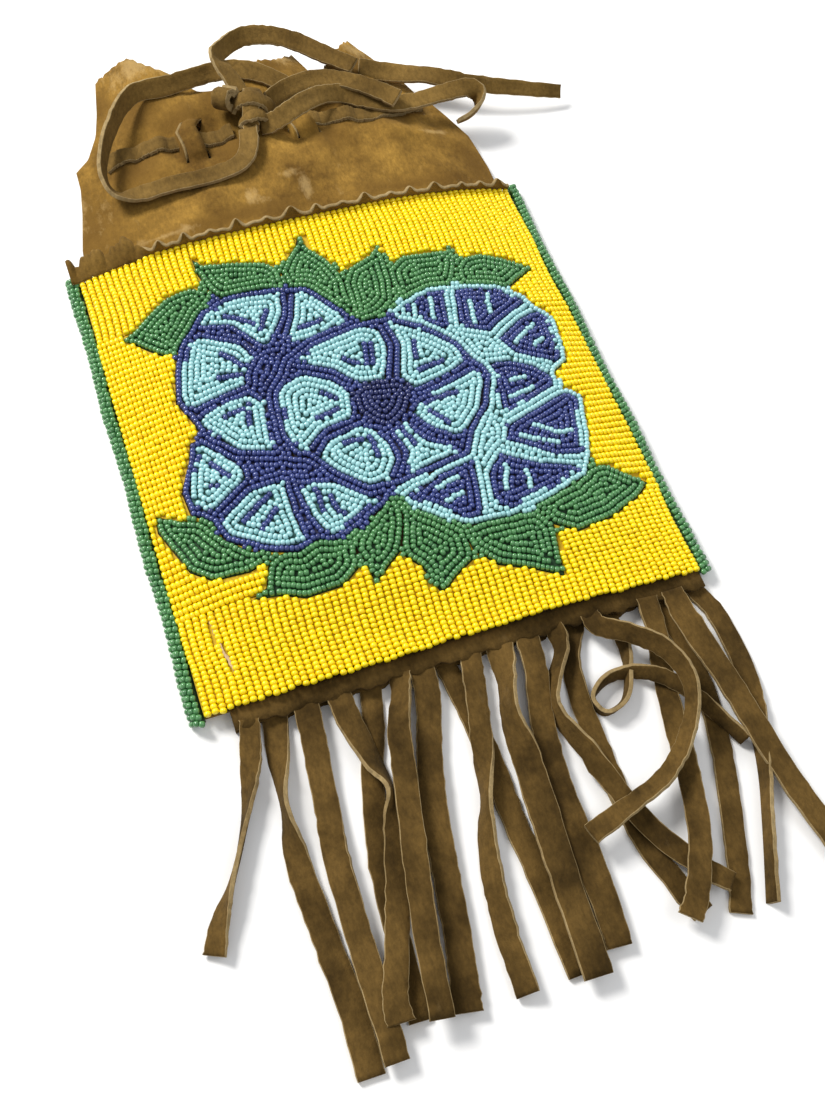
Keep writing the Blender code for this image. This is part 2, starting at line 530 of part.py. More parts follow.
def edge_beads(name, side):
    """The beads whipped round one side of the bag, as one wavy roll."""
    curve = bpy.data.curves.new(name, "CURVE")
    curve.dimensions = "3D"
    curve.bevel_depth = EDGE_BEAD_WIDTH / 2 * MM
    curve.bevel_resolution = 1
    curve.use_fill_caps = True
    spline = curve.splines.new("POLY")
    bends = 10
    places = [PANEL_BOTTOM - EDGE_OVERRUN + i * (PANEL_TOP - PANEL_BOTTOM + 2 * EDGE_OVERRUN) / bends
              for i in range(bends + 1)]
    spline.points.add(len(places) - 1)
    for i, (slot, y) in enumerate(zip(spline.points, places)):
        wave = 0.25 * (1 - math.cos(i * 2.2))
        x = side * (PANEL_WIDTH / 2 + GAP + EDGE_BEAD_WIDTH / 2 + wave)
        slot.co = (x * MM, y * MM, 0, 1)
    obj = bpy.data.objects.new(name, curve)
    CUTTERS.objects.link(obj)
    mesh = mesh_of(obj)
    bpy.data.objects.remove(obj)
    stretch = EDGE_BEAD_DEPTH / EDGE_BEAD_WIDTH
    mesh.transform(Matrix.Translation((0, 0, EDGE_BEAD_DEPTH / 2 * MM)) @ Matrix.Diagonal((1, 1, stretch, 1)))
    add(name, mesh, GREEN)


def cuff():
    """The mouth of the bag: one tube of suede, slit for the thong, with a ragged cut top."""
    slits = [b + s * (BRIDGE_WIDTH / 2 + t) for b in BRIDGES for s in (-1, 1) for t in (0, SLIT)]
    plain = [-1, -0.985, -0.94, -0.86, -0.74, -0.6, -0.24, -0.12, 0, 0.34, 0.44, 0.55, 0.66, 0.78, 0.9, 0.97, 1]
    half = (cuff_side(SLIT_BOTTOM, True) - cuff_side(SLIT_BOTTOM, False)) / 2
    shares = sorted(plain + [x / half for x in slits])
    build = bmesh.new()
    front = [[cuff_point(s, r, True) for s in shares] for r in CUFF_ROWS]
    back = [[cuff_point(s, r, False) for s in plain[1:-1]] for r in CUFF_ROWS]
    verts = [[build.verts.new(Vector(p) * MM) for p in f + b[::-1]] for f, b in zip(front, back)]
    narrow = {i for i, (a, b) in enumerate(zip(shares, shares[1:])) if (b - a) * half < SLIT * 1.01
              and any(abs(a * half - x) < 0.01 for x in slits)}
    around = len(verts[0])
    for j, (low, high) in enumerate(zip(verts, verts[1:])):
        for i in range(around):
            if i in narrow and SLIT_ROWS[0] <= j < SLIT_ROWS[1]:
                continue
            k = (i + 1) % around
            build.faces.new((low[i], low[k], high[k], high[i]))
    mesh = bpy.data.meshes.new("cuff")
    build.to_mesh(mesh)
    build.free()
    obj = add("cuff", mesh, SUEDE)
    thicken(obj, LEATHER)


def cuff_mouth(share):
    """How far up the cuff reaches at a share of its width, whose sides draw in towards the mouth."""
    y = SLIT_TOP
    for _ in range(16):
        left = cuff_side(y, False)
        right = cuff_side(y, True)
        y = (y + between(CUFF_TOP, (left + right) / 2 + share * (right - left) / 2)) / 2
    return y


def cuff_point(share, row, front):
    """A point of the cuff: its share of the width, its row up the cuff, and which wall it is on."""
    low = PANEL_TOP + GAP
    half = (cuff_side(SLIT_BOTTOM, True) - cuff_side(SLIT_BOTTOM, False)) / 2
    rough = share * half
    top = cuff_mouth(share) - (0 if front else 2.5)
    start, end = (CUFF_ROWS[i] for i in SLIT_ROWS)
    y = between([(0, low), (start, SLIT_BOTTOM), (end, SLIT_TOP), (1, top)], row)
    left = cuff_side(y, False)
    right = cuff_side(y, True)
    x = (left + right) / 2 + share * (right - left) / 2
    if not front:
        return (x, y, LEATHER + (0.4 if row else 0))
    z = cuff_top_surface(x, y) if abs(share) < 1 else CUFF_RIM
    for bridge in BRIDGES:
        if abs(rough - bridge) <= BRIDGE_WIDTH / 2 + 0.01 and SLIT_BOTTOM < y < SLIT_TOP:
            z += BRIDGE_LIFT * math.sin(math.pi * (y - SLIT_BOTTOM) / (SLIT_TOP - SLIT_BOTTOM)) ** 0.6
    return (x, y, z)


def ribbon(name, points, tilts, width, thickness, finish):
    """A flat lace: a curve with an extrusion across it and a small bevel, turned at each point."""
    curve = bpy.data.curves.new(name, "CURVE")
    curve.dimensions = "3D"
    curve.twist_mode = "Z_UP"
    curve.extrude = (width - thickness) / 2 * MM
    curve.bevel_depth = thickness / 2 * MM
    curve.bevel_resolution = 0
    curve.use_fill_caps = True
    spline = curve.splines.new("POLY")
    spline.points.add(len(points) - 1)
    for slot, point, tilt in zip(spline.points, points, tilts):
        slot.co = (point[0] * MM, point[1] * MM, point[2] * MM, 1)
        slot.tilt = math.radians(90 - tilt)
    obj = bpy.data.objects.new(name, curve)
    CUTTERS.objects.link(obj)
    mesh = mesh_of(obj)
    bpy.data.objects.remove(obj)
    return add(name, mesh, finish)


def eased(rows, steps):
    """Rows of numbers along a route, with points added between them on a smooth curve."""
    out = []
    for i in range(len(rows) - 1):
        p0 = rows[max(i - 1, 0)]
        p1 = rows[i]
        p2 = rows[i + 1]
        p3 = rows[min(i + 2, len(rows) - 1)]
        for k in range(steps):
            t = k / steps
            out.append([
                0.5 * (2 * b + (c - a) * t + (2 * a - 5 * b + 4 * c - d) * t * t
                       + (3 * b - a - 3 * c + d) * t**3)
                for a, b, c, d in zip(p0, p1, p2, p3)])
    out.append(list(rows[-1]))
    return out


def free_thong(name, route):
    rows = [(x, y, cuff_top_surface(x, y) + lift, tilt) for x, y, lift, tilt in route]
    rows = eased(rows, 2)
    return ribbon(name, [r[:3] for r in rows], [r[3] for r in rows], THONG_WIDTH, THONG_THICKNESS, SUEDE)


def threaded_thong(name, route):
    """Thong that lies flat on the cuff and runs under a bridge of it."""
    lift = THONG_THICKNESS / 2 + GAP + 0.5
    points = [(x, y, cuff_top_surface(x, y) + lift) for x, y in route]
    return ribbon(name, points, [0] * len(points), THONG_WIDTH - 0.6, THONG_THICKNESS, SUEDE_DARK)


def knot():
    """The bow's knot: a rounded block of wrapped thong."""
    bpy.ops.mesh.primitive_cube_add(size=1)
    obj = bpy.context.object
    mesh = obj.data
    bpy.data.objects.remove(obj)
    floor = max(cuff_top_surface(KNOT_CENTRE[0] + dx, KNOT_CENTRE[1] + dy)
                for dx in (-5, 0, 5) for dy in (-7, 0, 7)) + 0.5
    for vert in mesh.vertices:
        vert.co = [(KNOT_CENTRE[0] + vert.co.x * KNOT_SIZE[0]) * MM,
                   (KNOT_CENTRE[1] + vert.co.y * KNOT_SIZE[1]) * MM,
                   (floor + (vert.co.z + 0.5) * KNOT_SIZE[2]) * MM]
    obj = add("knot", mesh, SUEDE)
    soft = obj.modifiers.new("rounded", "BEVEL")
    soft.width = 2.2 * MM
    soft.segments = 2
    return obj


def fringe(name, strips, band_z, finish):
    """One layer of fringe: a band with strips cut from it, each strip with its own lie."""
    build = bmesh.new()
    top = PANEL_BOTTOM - GAP
    seam = top - FRINGE_BAND
    strips = [(across(half), [(across(x), y, z) for x, y, z in route]) for half, route in strips]
    marks = [across(BAND_EDGE_LEFT)]
    for half, route in strips:
        marks += [route[0][0] - half, route[0][0] + half]
    marks.append(across(BAND_EDGE_RIGHT))
    upper = [build.verts.new((x * MM, top * MM, band_z(x) * MM)) for x in marks]
    lower = [build.verts.new((x * MM, (seam + 1.0 * ((i + 1) // 2 % 2)) * MM, band_z(x) * MM))
             for i, x in enumerate(marks)]
    for i in range(len(marks) - 1):
        build.faces.new((lower[i], lower[i + 1], upper[i + 1], upper[i]))
    for i, (half, route) in enumerate(strips):
        rows = eased([(p[0], p[1], p[2]) for p in route], 1)[1:]
        last = [lower[2 * i + 1], lower[2 * i + 2]]
        for k, (x, y, z) in enumerate(rows):
            before = rows[k - 1] if k else (route[0][0], seam)
            after = rows[min(k + 1, len(rows) - 1)]
            along = Vector((after[0] - before[0], after[1] - before[1])).normalized()
            side = Vector((-along.y, along.x)) * half
            pair = [build.verts.new(((x - side.x) * MM, (y - side.y) * MM, z * MM)),
                    build.verts.new(((x + side.x) * MM, (y + side.y) * MM, z * MM))]
            build.faces.new((pair[0], pair[1], last[1], last[0]))
            last = pair
    bmesh.ops.recalc_face_normals(build, faces=build.faces)
    mesh = bpy.data.meshes.new(name)
    build.to_mesh(mesh)
    build.free()
    obj = add(name, mesh, finish)
    shell = thicken(obj, FRINGE_THICKNESS).modifiers["leather"]
    shell.offset = 0
    return obj


def ruffle():
    """The wavy strip of suede that covers the seam between the beads and the cuff."""
    steps = 40
    left = -PANEL_WIDTH / 2 - 2.0
    right = PANEL_WIDTH / 2 - 0.5
    build = bmesh.new()
    rows = []
    for i in range(steps + 1):
        x = left + (right - left) * i / steps
        wave = math.sin(i * 1.3) + 0.5 * math.sin(i * 2.1 + 1)
        base = max(bead_middle(x, PANEL_TOP), cuff_top_surface(min(max(x, -71), 71), PANEL_TOP + 3)) + 2.4
        flap = smooth((-52 - x) / 8)
        low = PANEL_TOP - 0.2 - 0.5 * wave
        high = PANEL_TOP + RUFFLE_HEIGHT + 0.7 * wave + 2.5 * flap
        rows.append([build.verts.new((x * MM, low * MM, (base - 0.3) * MM)),
                     build.verts.new((x * MM, (low + high) / 2 * MM, (base + 0.4) * MM)),
                     build.verts.new((x * MM, high * MM, (base + 0.7 + 0.45 * wave) * MM))])
    for a, b in zip(rows, rows[1:]):
        for k in range(2):
            build.faces.new((a[k], b[k], b[k + 1], a[k + 1]))
    mesh = bpy.data.meshes.new("ruffle")
    build.to_mesh(mesh)
    build.free()
    thicken(add("ruffle", mesh, SUEDE_DARK), LEATHER - 0.2)


def main():
    panels()
    beadwork()
    edge_beads("edge_beads_left", -1)
    edge_beads("edge_beads_right", 1)
    cuff()
    ruffle()
    knot()
    free_thong("thong_loop_left", LOOP_LEFT)
    free_thong("thong_loop_right", LOOP_RIGHT)
    free_thong("thong_strand_top", STRAND_TOP)
    free_thong("thong_strand_short", STRAND_SHORT)
    free_thong("thong_tail_long", TAIL_LONG)
    threaded_thong("thong_threaded_left", THREADED_LEFT)
    threaded_thong("thong_threaded_right", THREADED_RIGHT)
    side = PANEL_WIDTH / 2
    fringe("fringe_front", FRINGE_FRONT, lambda x: 2.5 + 1.6 * (1 - min(abs(x) / side, 1) ** 3), SUEDE)
    fringe("fringe_back", FRINGE_BACK, lambda x: 0.7, SUEDE_DARK)


clear_scene()
PARTS = collection("beaded_medicine_bag")
CUTTERS = collection("cutters")
main()
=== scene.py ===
"""Beaded medicine bag: the looks of the suede, the glass beads, the thong and the fringe."""
import math

import bmesh
import bpy
import numpy as np
from mathutils import Matrix, Vector


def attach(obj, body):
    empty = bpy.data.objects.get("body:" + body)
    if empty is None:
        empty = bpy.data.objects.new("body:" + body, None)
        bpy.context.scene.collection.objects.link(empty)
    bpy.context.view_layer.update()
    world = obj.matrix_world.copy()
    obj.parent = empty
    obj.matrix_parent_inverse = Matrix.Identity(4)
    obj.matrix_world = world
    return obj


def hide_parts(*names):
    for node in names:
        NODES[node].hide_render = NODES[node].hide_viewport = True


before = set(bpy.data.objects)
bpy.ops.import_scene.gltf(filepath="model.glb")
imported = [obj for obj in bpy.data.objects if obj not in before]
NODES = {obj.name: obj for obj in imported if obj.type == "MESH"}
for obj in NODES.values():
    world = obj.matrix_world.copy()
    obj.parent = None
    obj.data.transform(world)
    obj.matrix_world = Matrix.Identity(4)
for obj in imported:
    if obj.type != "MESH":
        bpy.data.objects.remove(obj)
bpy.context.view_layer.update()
MM = 0.001
RNG = np.random.default_rng(7)

# Sizes shared with the part, in millimetres
PANEL_HALF = 75.0
PANEL_BOTTOM = -77.3
PANEL_TOP = 77.0
RIM_BEAD_MIDDLE = 4.0
RISE_AT_FRINGE = 3.4
RISE_AT_MOUTH = 8.0
RISE_LENGTH = 35.0
LEATHER = 1.3
RUFFLE_LEATHER = 1.1
STRIP_LEATHER = 1.25
CUFF_RISE = 8.6
CUFF_RIM = 3.0
SLIT = 0.9
BRIDGES = (-27.0, 12.5)
BRIDGE_WIDTH = 7.6
BRIDGE_LIFT = 4.6
SLIT_BOTTOM = 113.0
SLIT_TOP = 131.0
CUFF_SIDES = [(78, -72, 72.6), (90, -71.4, 73), (106, -68, 71.6), (117, -66.2, 67.4), (125, -66, 64),
    (130, -60.8, 60.6), (140, -56, 57), (150, -53.4, 53), (168, -50, 46)]
CUFF_TOP = [(-54, 162), (-49.5, 166.5), (-42, 168.2), (-36.9, 167.6), (-31, 160), (-25, 156.4),
    (-17, 144.8), (-9, 142), (-2, 144), (4, 149.6), (12, 151.2), (20.6, 156), (23, 145), (26, 143.6),
    (33, 149.6), (38, 155), (43, 160.4), (47, 155.5), (51, 150.5), (55, 147.5)]
THONG_WIDTH = 6.6
THONG_THICKNESS = 1.4

# Rows of the cuff, as shares of its height, between which its slits lie
SLIT_ROWS = (0.42, 0.66)

# Beads, in millimetres
ROW_PITCH = 2.1
ROW_STEP = 2.0
FIRST_ROW = 0.92
BEAD_PITCH = 1.42
CELL = 3.0
BEAD_WIDTH = {"yellow": 2.04, "green": 1.86, "light_blue": 1.86, "navy": 1.86, "deep_navy": 1.9}
BEAD_LENGTH = 1.40
BEADS_PER_PIECE = 1900
DEPTH_GRID = 0.4
SETTLED_RUN = 1.4
SETTLED_OFF = 1.96
PATCH_AREA = (70.0, 62.0)
PATCH_STEP = 0.5
PATCH_REACH = 2.9
PATCH_ROOM = 1.22
STRAY_REACH = 2.7
STRAY_MATES = 4

# Edge beads: a stitch of slanting beads at every step along the seam
STITCH_BEADS = 4
STITCH_PITCH = 1.92
STITCH_TURN = 42
EDGE_END = 79.0
EDGE_ROLL = 1.95
EDGE_CORE = 1.35


def smooth(t):
    t = np.clip(t, 0.0, 1.0)
    return t * t * (3 - 2 * t)


def between(table, x):
    return float(np.interp(x, [row[0] for row in table], [row[1] for row in table]))


def bead_middle(x, y):
    """Height of the middle of the bead layer over the crowned front."""
    s = np.minimum(np.abs(x) / PANEL_HALF, 1.0)
    rise = RISE_AT_FRINGE + (RISE_AT_MOUTH - RISE_AT_FRINGE) * smooth((y - PANEL_BOTTOM) / RISE_LENGTH)
    return RIM_BEAD_MIDDLE + (1 - s**3) * rise


def cuff_sides(y):
    """Where the cuff's left and right sides are, at a place up the bag."""
    return between([row[:2] for row in CUFF_SIDES], y), between([row[::2] for row in CUFF_SIDES], y)


def cuff_share(x, y):
    """Where x lies between the cuff's sides: -1 at the left one and 1 at the right one."""
    left, right = cuff_sides(y)
    return (2 * x - left - right) / (right - left)


def cuff_x(share, y):
    left, right = cuff_sides(y)
    return (left + right) / 2 + share * (right - left) / 2


CUFF_HALF = (cuff_sides(SLIT_BOTTOM)[1] - cuff_sides(SLIT_BOTTOM)[0]) / 2


def cuff_surface(x, y):
    """Height of the upper face of the cuff's front, whose folds deepen towards the mouth."""
    s = cuff_share(x, y)
    if abs(s) >= 1:
        return 0.0
    fold = 1.1 * float(smooth((y - 108) / 40)) * math.cos((x + 34) * 2 * math.pi / 40)
    return CUFF_RIM + (1 - abs(s) ** 2.6) * CUFF_RISE + fold * (1 - abs(s) ** 4)


# Pale places on the cuff, partly real scuffs and partly painted highlights (the three wide spots on the lit
# peaks of its top): middle x, y, and reach each way
SCUFF_AND_HIGHLIGHT_SPOTS = [(2, 97, 3.5, 2.5), (5, 91, 2.5, 6), (-13, 92, 3, 5), (-8, 88, 3, 3), (-36, 163, 14, 8),
    (19, 155, 9, 7), (44, 154, 7, 6), (-44, 84, 10, 2), (-70, 112, 3, 12), (60, 108, 8, 2)]
# Darker places on the cuff, partly painted shade under and beside the thong's loops and bridges, partly
# darker patches of its nap
NAP_AND_SHADE_SPOTS = [(-66, 96, 13, 18), (-47, 116, 12, 13), (-28, 133, 12, 8), (-40, 142, 14, 12),
    (-10, 140, 10, 9), (24, 126, 16, 5), (46, 118, 9, 9), (20, 112, 7, 10), (-20, 84, 30, 4),
    (40, 84, 26, 4), (68, 92, 5, 14), (-12, 116, 9, 7), (10, 148, 8, 5), (36, 147, 6, 6), (-52, 152, 6, 12)]


def gathers(x, y):
    """What the thong does to the cuff: a valley along it, pulled creases, and soft pillows elsewhere."""
    s = cuff_share(x, y)
    if abs(s) >= 1:
        return 0.0
    valley = -2.0 * math.exp(-((y - 124.5) / 7.5) ** 2)
    pull = math.exp(-abs(y - 124) / 13) * (0.95 * math.sin(x * 0.47 + 0.6) + 0.45 * math.sin(x * 1.05 + 2.0))
    pillow = (0.75 * math.sin(x * 0.115 + 0.9) * math.sin(y * 0.135 + x * 0.05)
              + 0.4 * math.sin(x * 0.21 - y * 0.19))
    flare = 1.5 * float(smooth((y - 134) / 24)) * math.cos((x + 36) * 2 * math.pi / 40 + 0.3)
    ridge = 1.9 * math.exp(-((y - 110 + 0.35 * (x - 45)) / 4.0) ** 2) * float(smooth((x - 34) / 14))
    return (valley + pull + pillow + flare + ridge) * (1 - s**4)


# Materials

class Shading:
    """The nodes of one new material."""

    def __init__(self, name):
        self.material = bpy.data.materials.new(name)
        self.material.use_nodes = True
        self.nodes = self.material.node_tree.nodes
        self.links = self.material.node_tree.links
        self.shader = self.nodes["Principled BSDF"]
        self.place = None

    def feed(self, socket, value):
        """Links an input to another node's output, or gives it a value."""
        if isinstance(value, bpy.types.NodeSocket):
            self.links.new(value, socket)
        else:
            socket.default_value = value

    def put(self, node, **values):
        """Feeds inputs by name, with underscores for the spaces in their names."""
        for name, value in values.items():
            self.feed(node.inputs[name.replace("_", " ")], value)

    def add(self, kind, **values):
        node = self.nodes.new("ShaderNode" + kind)
        self.put(node, **values)
        return node

    def noise(self, scale, detail=4.0, roughness=0.6, stretch=None):
        self.place = self.place or self.add("TexCoord").outputs["Object"]
        vector = self.place
        if stretch:
            vector = self.add("Mapping", Scale=stretch, Vector=vector).outputs["Vector"]
        node = self.add("TexNoise", Scale=scale, Detail=detail, Roughness=roughness, Vector=vector)
        return node.outputs["Fac"]

    def ramp(self, fac, *stops):
        node = self.add("ValToRGB", Fac=fac)
        elements = node.color_ramp.elements
        while len(elements) < len(stops):
            elements.new(0.5)
        for element, (place, colour) in zip(elements, stops):
            element.position = place
            element.color = (*colour, 1)
        return node.outputs["Color"]

    def mixed(self, fac, a, b, kind="MIX"):
        node = self.add("Mix")
        node.data_type = "RGBA"
        node.blend_type = kind
        for i, value in ((0, fac), (6, a), (7, b)):
            self.feed(node.inputs[i], (*value, 1) if isinstance(value, tuple) else value)
        return node.outputs[2]

    def painted(self, name):
        """What a mesh attribute of this name says at each place."""
        node = self.add("Attribute")
        node.attribute_name = name
        return node.outputs["Fac"]


def suede(name, dark, light, scuff_and_highlight_colour=(0.36, 0.25, 0.12), scuff_and_highlight_share=0.35, grain=1.0, cloudy=(0.32, 0.66)):
    """Brushed suede: cloudy brown, a fine nap that lies in streaks, and pale scuffed places. A mesh may also
    paint in pale places that are partly painted highlights, and darker places that are partly painted shade.
    """
    look = Shading(name)
    base = look.ramp(look.noise(42, 5, 0.62), (cloudy[0], dark), (cloudy[1], light))
    nap = look.noise(900, 3, 0.7, (1.0, 0.45, 1.0))
    shade = look.ramp(nap, (0.3, (0.55, 0.55, 0.55)), (0.72, (1.12, 1.12, 1.12)))
    tint = look.mixed(0.75, base, shade, "MULTIPLY")
    # Pale places: random wear, plus the mesh's own scuffs and painted highlights
    scuffs_and_highlights = look.add("Math")
    scuffs_and_highlights.operation = "MULTIPLY_ADD"
    worn = look.noise(70, 6, 0.75, (1.0, 0.5, 1.0))
    for socket, value in zip(scuffs_and_highlights.inputs, (look.painted("scuffs_and_painted_highlights"), 0.3, worn)):
        look.feed(socket, value)
    mask = look.ramp(scuffs_and_highlights.outputs[0], (0.62, (0, 0, 0)), (0.76, (scuff_and_highlight_share, scuff_and_highlight_share, scuff_and_highlight_share)))
    # Darker places painted in by the mesh: partly painted shade, partly nap
    tint = look.mixed(look.painted("nap_and_painted_shade"), tint, dark)
    fine = look.add("Bump", Strength=0.45 * grain, Distance=0.0004, Height=look.noise(1400, 4, 0.7))
    coarse = look.add("Bump", Strength=0.5 * grain, Distance=0.0012, Height=look.noise(120, 5, 0.6),
                      Normal=fine.outputs["Normal"])
    look.put(look.shader, Base_Color=look.mixed(mask, tint, scuff_and_highlight_colour), Roughness=0.95, Specular_IOR_Level=0.12,
             Sheen_Weight=0.05, Sheen_Roughness=0.6, Sheen_Tint=(0.75, 0.6, 0.35, 1),
             Normal=coarse.outputs["Normal"])
    return look.material


def glass_bead(name, colour, deep, rough=0.22):
    """Opaque glass beads: each bead a slightly different shade, with a soft gloss."""
    look = Shading(name)
    island = look.add("NewGeometry").outputs["Random Per Island"]
    look.put(look.shader, Base_Color=look.ramp(island, (0.0, deep), (0.35, colour), (1.0, colour)),
             Roughness=rough, Specular_IOR_Level=0.5, Coat_Weight=0.25, Coat_Roughness=0.12)
    return look.material


SUEDE = suede("suede", (0.125, 0.064, 0.011), (0.365, 0.205, 0.038), scuff_and_highlight_colour=(0.60, 0.42, 0.18),
              cloudy=(0.36, 0.62))
LACE = suede("lace_suede", (0.098, 0.055, 0.012), (0.235, 0.140, 0.036), scuff_and_highlight_share=0.30)
FRINGE = suede("fringe_suede", (0.050, 0.028, 0.006), (0.142, 0.082, 0.021), scuff_and_highlight_share=0.16,
               cloudy=(0.38, 0.60))
RUFFLE = suede("ruffle_suede", (0.088, 0.046, 0.008), (0.230, 0.132, 0.028), scuff_and_highlight_share=0.25)
CUT_EDGE = suede("cut_edge", (0.25, 0.17, 0.07), (0.42, 0.31, 0.15), scuff_and_highlight_share=0.3, grain=1.5)
THONG_LOOKS = ([LACE, CUT_EDGE], "thong_suede")
FRINGE_LOOKS = ([FRINGE, CUT_EDGE], "fringe_suede")
BACKING = suede("backing_suede", (0.10, 0.06, 0.02), (0.17, 0.10, 0.04), scuff_and_highlight_share=0.1)
THREAD = suede("pale_thread", (0.50, 0.33, 0.18), (0.72, 0.52, 0.32), scuff_and_highlight_share=0.2)
GLASS = {name: glass_bead(name + "_glass", *look) for name, look in {
    "yellow": ((1.0, 0.76, 0.0), (0.96, 0.68, 0.0), 0.34),
    "green": ((0.085, 0.255, 0.088), (0.052, 0.180, 0.060)),
    "light_blue": ((0.37, 0.66, 0.68), (0.28, 0.55, 0.57)),
    "navy": ((0.044, 0.064, 0.225), (0.026, 0.038, 0.15)),
    "deep_navy": ((0.028, 0.038, 0.140), (0.018, 0.024, 0.095))}.items()}


def gap_shade_cloth(name, colour):
    """The thread and glass that show between the beads, in painted shade: each bead colour darkened and
    mottled.
    """
    look = Shading(name)
    dark = tuple(c * 0.7 for c in colour)
    look.put(look.shader, Base_Color=look.ramp(look.noise(500), (0.3, dark), (0.7, colour)), Roughness=0.8)
    return look.material


# Each bead colour darkened: painted shade in the gaps between the beads
GAP_SHADE = {name: gap_shade_cloth(name + "_ground", colour) for name, colour in {
    "yellow": (0.62, 0.40, 0.004), "green": (0.010, 0.050, 0.014), "light_blue": (0.030, 0.11, 0.10),
    "navy": (0.010, 0.010, 0.045), "deep_navy": (0.006, 0.006, 0.022)}.items()}


def slot_of(colour):
    return "navy_beads" if colour == "deep_navy" else colour + "_beads"


# Small mesh helpers

def piece(name, mesh, materials, slot, replaced=()):
    obj = bpy.data.objects.new(name, mesh)
    bpy.context.scene.collection.objects.link(obj)
    for material in materials:
        mesh.materials.append(material)
    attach(obj, "root")
    if replaced:
        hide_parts(*replaced)
    return obj


def finished(build, name):
    """The mesh of a build, which is freed."""
    mesh = bpy.data.meshes.new(name)
    build.to_mesh(mesh)
    build.free()
    return mesh


def thicken(obj, thickness, offset, rim=0):
    """Gives a sheet its thickness. The material of the cut rim is so many slots on from the faces'."""
    shell = obj.modifiers.new("leather", "SOLIDIFY")
    shell.thickness = thickness * MM
    shell.offset = offset
    shell.material_offset_rim = rim


def eased(rows, steps):
    """Rows of numbers along a route, with points added between them on a smooth curve."""
    rows = np.array(rows, float)
    out = []
    for i in range(len(rows) - 1):
        a, b, c, d = (rows[min(max(k, 0), len(rows) - 1)] for k in (i - 1, i, i + 1, i + 2))
        for k in range(steps):
            t = k / steps
            out.append(0.5 * (2 * b + (c - a) * t + (2 * a - 5 * b + 4 * c - d) * t * t
                              + (3 * b - a - 3 * c + d) * t**3))
    out.append(rows[-1])
    return np.array(out)


def strip(name, points, side, face, half, thickness, cup, ragged):
    """A flat strip of suede through points, with its own sideways and face directions at each."""
    count = len(points)
    wobble = RNG.normal(0, ragged, (count, 2))
    across = np.array([-1, -0.94, -0.5, 0, 0.5, 0.94, 1])
    build = bmesh.new()
    rings = []
    for i in range(count):
        ring = []
        for layer in (1, -1):
            for u in across[::layer]:
                edge = wobble[i, 0 if u < 0 else 1] * abs(u)
                inset = 0.72 if abs(u) == 1 else 1.0
                lift = thickness / 2 * layer * inset + cup * (u * u - 0.35)
                place = points[i] + side[i] * (u * half[i] + edge) + face[i] * lift
                ring.append(build.verts.new(place * MM))
        rings.append(ring)
    size = len(rings[0])
    wide = len(across)
    cut = {0, wide - 2, wide - 1, wide, size - 2, size - 1}
    for a, b in zip(rings, rings[1:]):
        for k in range(size):
            made = build.faces.new((a[k], a[(k + 1) % size], b[(k + 1) % size], b[k]))
            made.material_index = 1 if k in cut else 0
            made.smooth = k not in (wide - 1, size - 1)
    for ring in (rings[0][::-1], rings[-1]):
        build.faces.new(ring).material_index = 1
    bmesh.ops.recalc_face_normals(build, faces=build.faces)
    return finished(build, name)


def unit(rows):
    return rows / np.maximum(np.linalg.norm(rows, axis=1), 1e-6)[:, None]


def lace(name, route, width, thickness, materials, slot, replaced=(), steps=6, cup=0.0, ragged=0.12):
    """A strip of suede swept along x, y, z, tilt rows: flat at tilt 0 and on its edge at 90."""
    rows = eased(route, steps)
    points = rows[:, :3]
    count = len(points)
    ahead = unit(np.gradient(points, axis=0))
    flat = unit(np.stack([-ahead[:, 1], ahead[:, 0], np.zeros(count)], 1))
    up = np.cross(ahead, flat)
    up *= np.where(up[:, 2:] < 0, -1, 1)
    tilt = np.radians(rows[:, 3])[:, None]
    side = flat * np.cos(tilt) + up * np.sin(tilt)
    face = np.cross(ahead, side)
    face *= np.where(face[:, 2:] < 0, -1, 1)
    widths = np.atleast_1d(width)
    half = np.interp(np.linspace(0, 1, count), np.linspace(0, 1, len(widths)), widths) / 2
    mesh = strip(name, points, side, face, half, thickness, cup, ragged)
    return piece(name, mesh, materials, slot, replaced), points * MM


def rolled(name, centre, axis, radii, turns, start, width, materials, slot):
    """A strip of suede rolled up on itself round an axis, loosest at its first turn."""
    axis = Vector(axis).normalized()
    out = axis.cross(Vector((0, 0, 1))).normalized()
    up = out.cross(axis)
    count = int(18 * turns)
    angle = start + np.linspace(0, 2 * math.pi * turns, count)
    radius = np.linspace(*radii, count)
    face = np.cos(angle)[:, None] * np.array(out) + np.sin(angle)[:, None] * np.array(up)
    points = np.array(centre) + face * radius[:, None]
    side = np.repeat(np.array(axis)[None], count, 0)
    mesh = strip(name, points, side, face, np.full(count, width / 2), THONG_THICKNESS - 0.05, 0.0, 0.15)
    piece(name, mesh, materials, slot)


# Beadwork

def top_outlines(node):
    """The x, y outlines of a field's upper face, in millimetres, as arrays of edges."""
    mesh = node.data
    mesh.calc_loop_triangles()
    points = np.array([v.co[:] for v in mesh.vertices]) / MM
    counts = {}
    for tri in mesh.loop_triangles:
        corners = points[list(tri.vertices)]
        normal = np.cross(corners[1] - corners[0], corners[2] - corners[0])
        length = np.linalg.norm(normal)
        if length < 1e-9 or normal[2] / length < 0.6:
            continue
        keys = [(round(p[0], 2), round(p[1], 2)) for p in corners]
        for a, b in ((0, 1), (1, 2), (2, 0)):
            edge = (keys[a], keys[b]) if keys[a] < keys[b] else (keys[b], keys[a])
            counts[edge] = counts.get(edge, 0) + 1
    return np.array([edge for edge, n in counts.items() if n == 1])


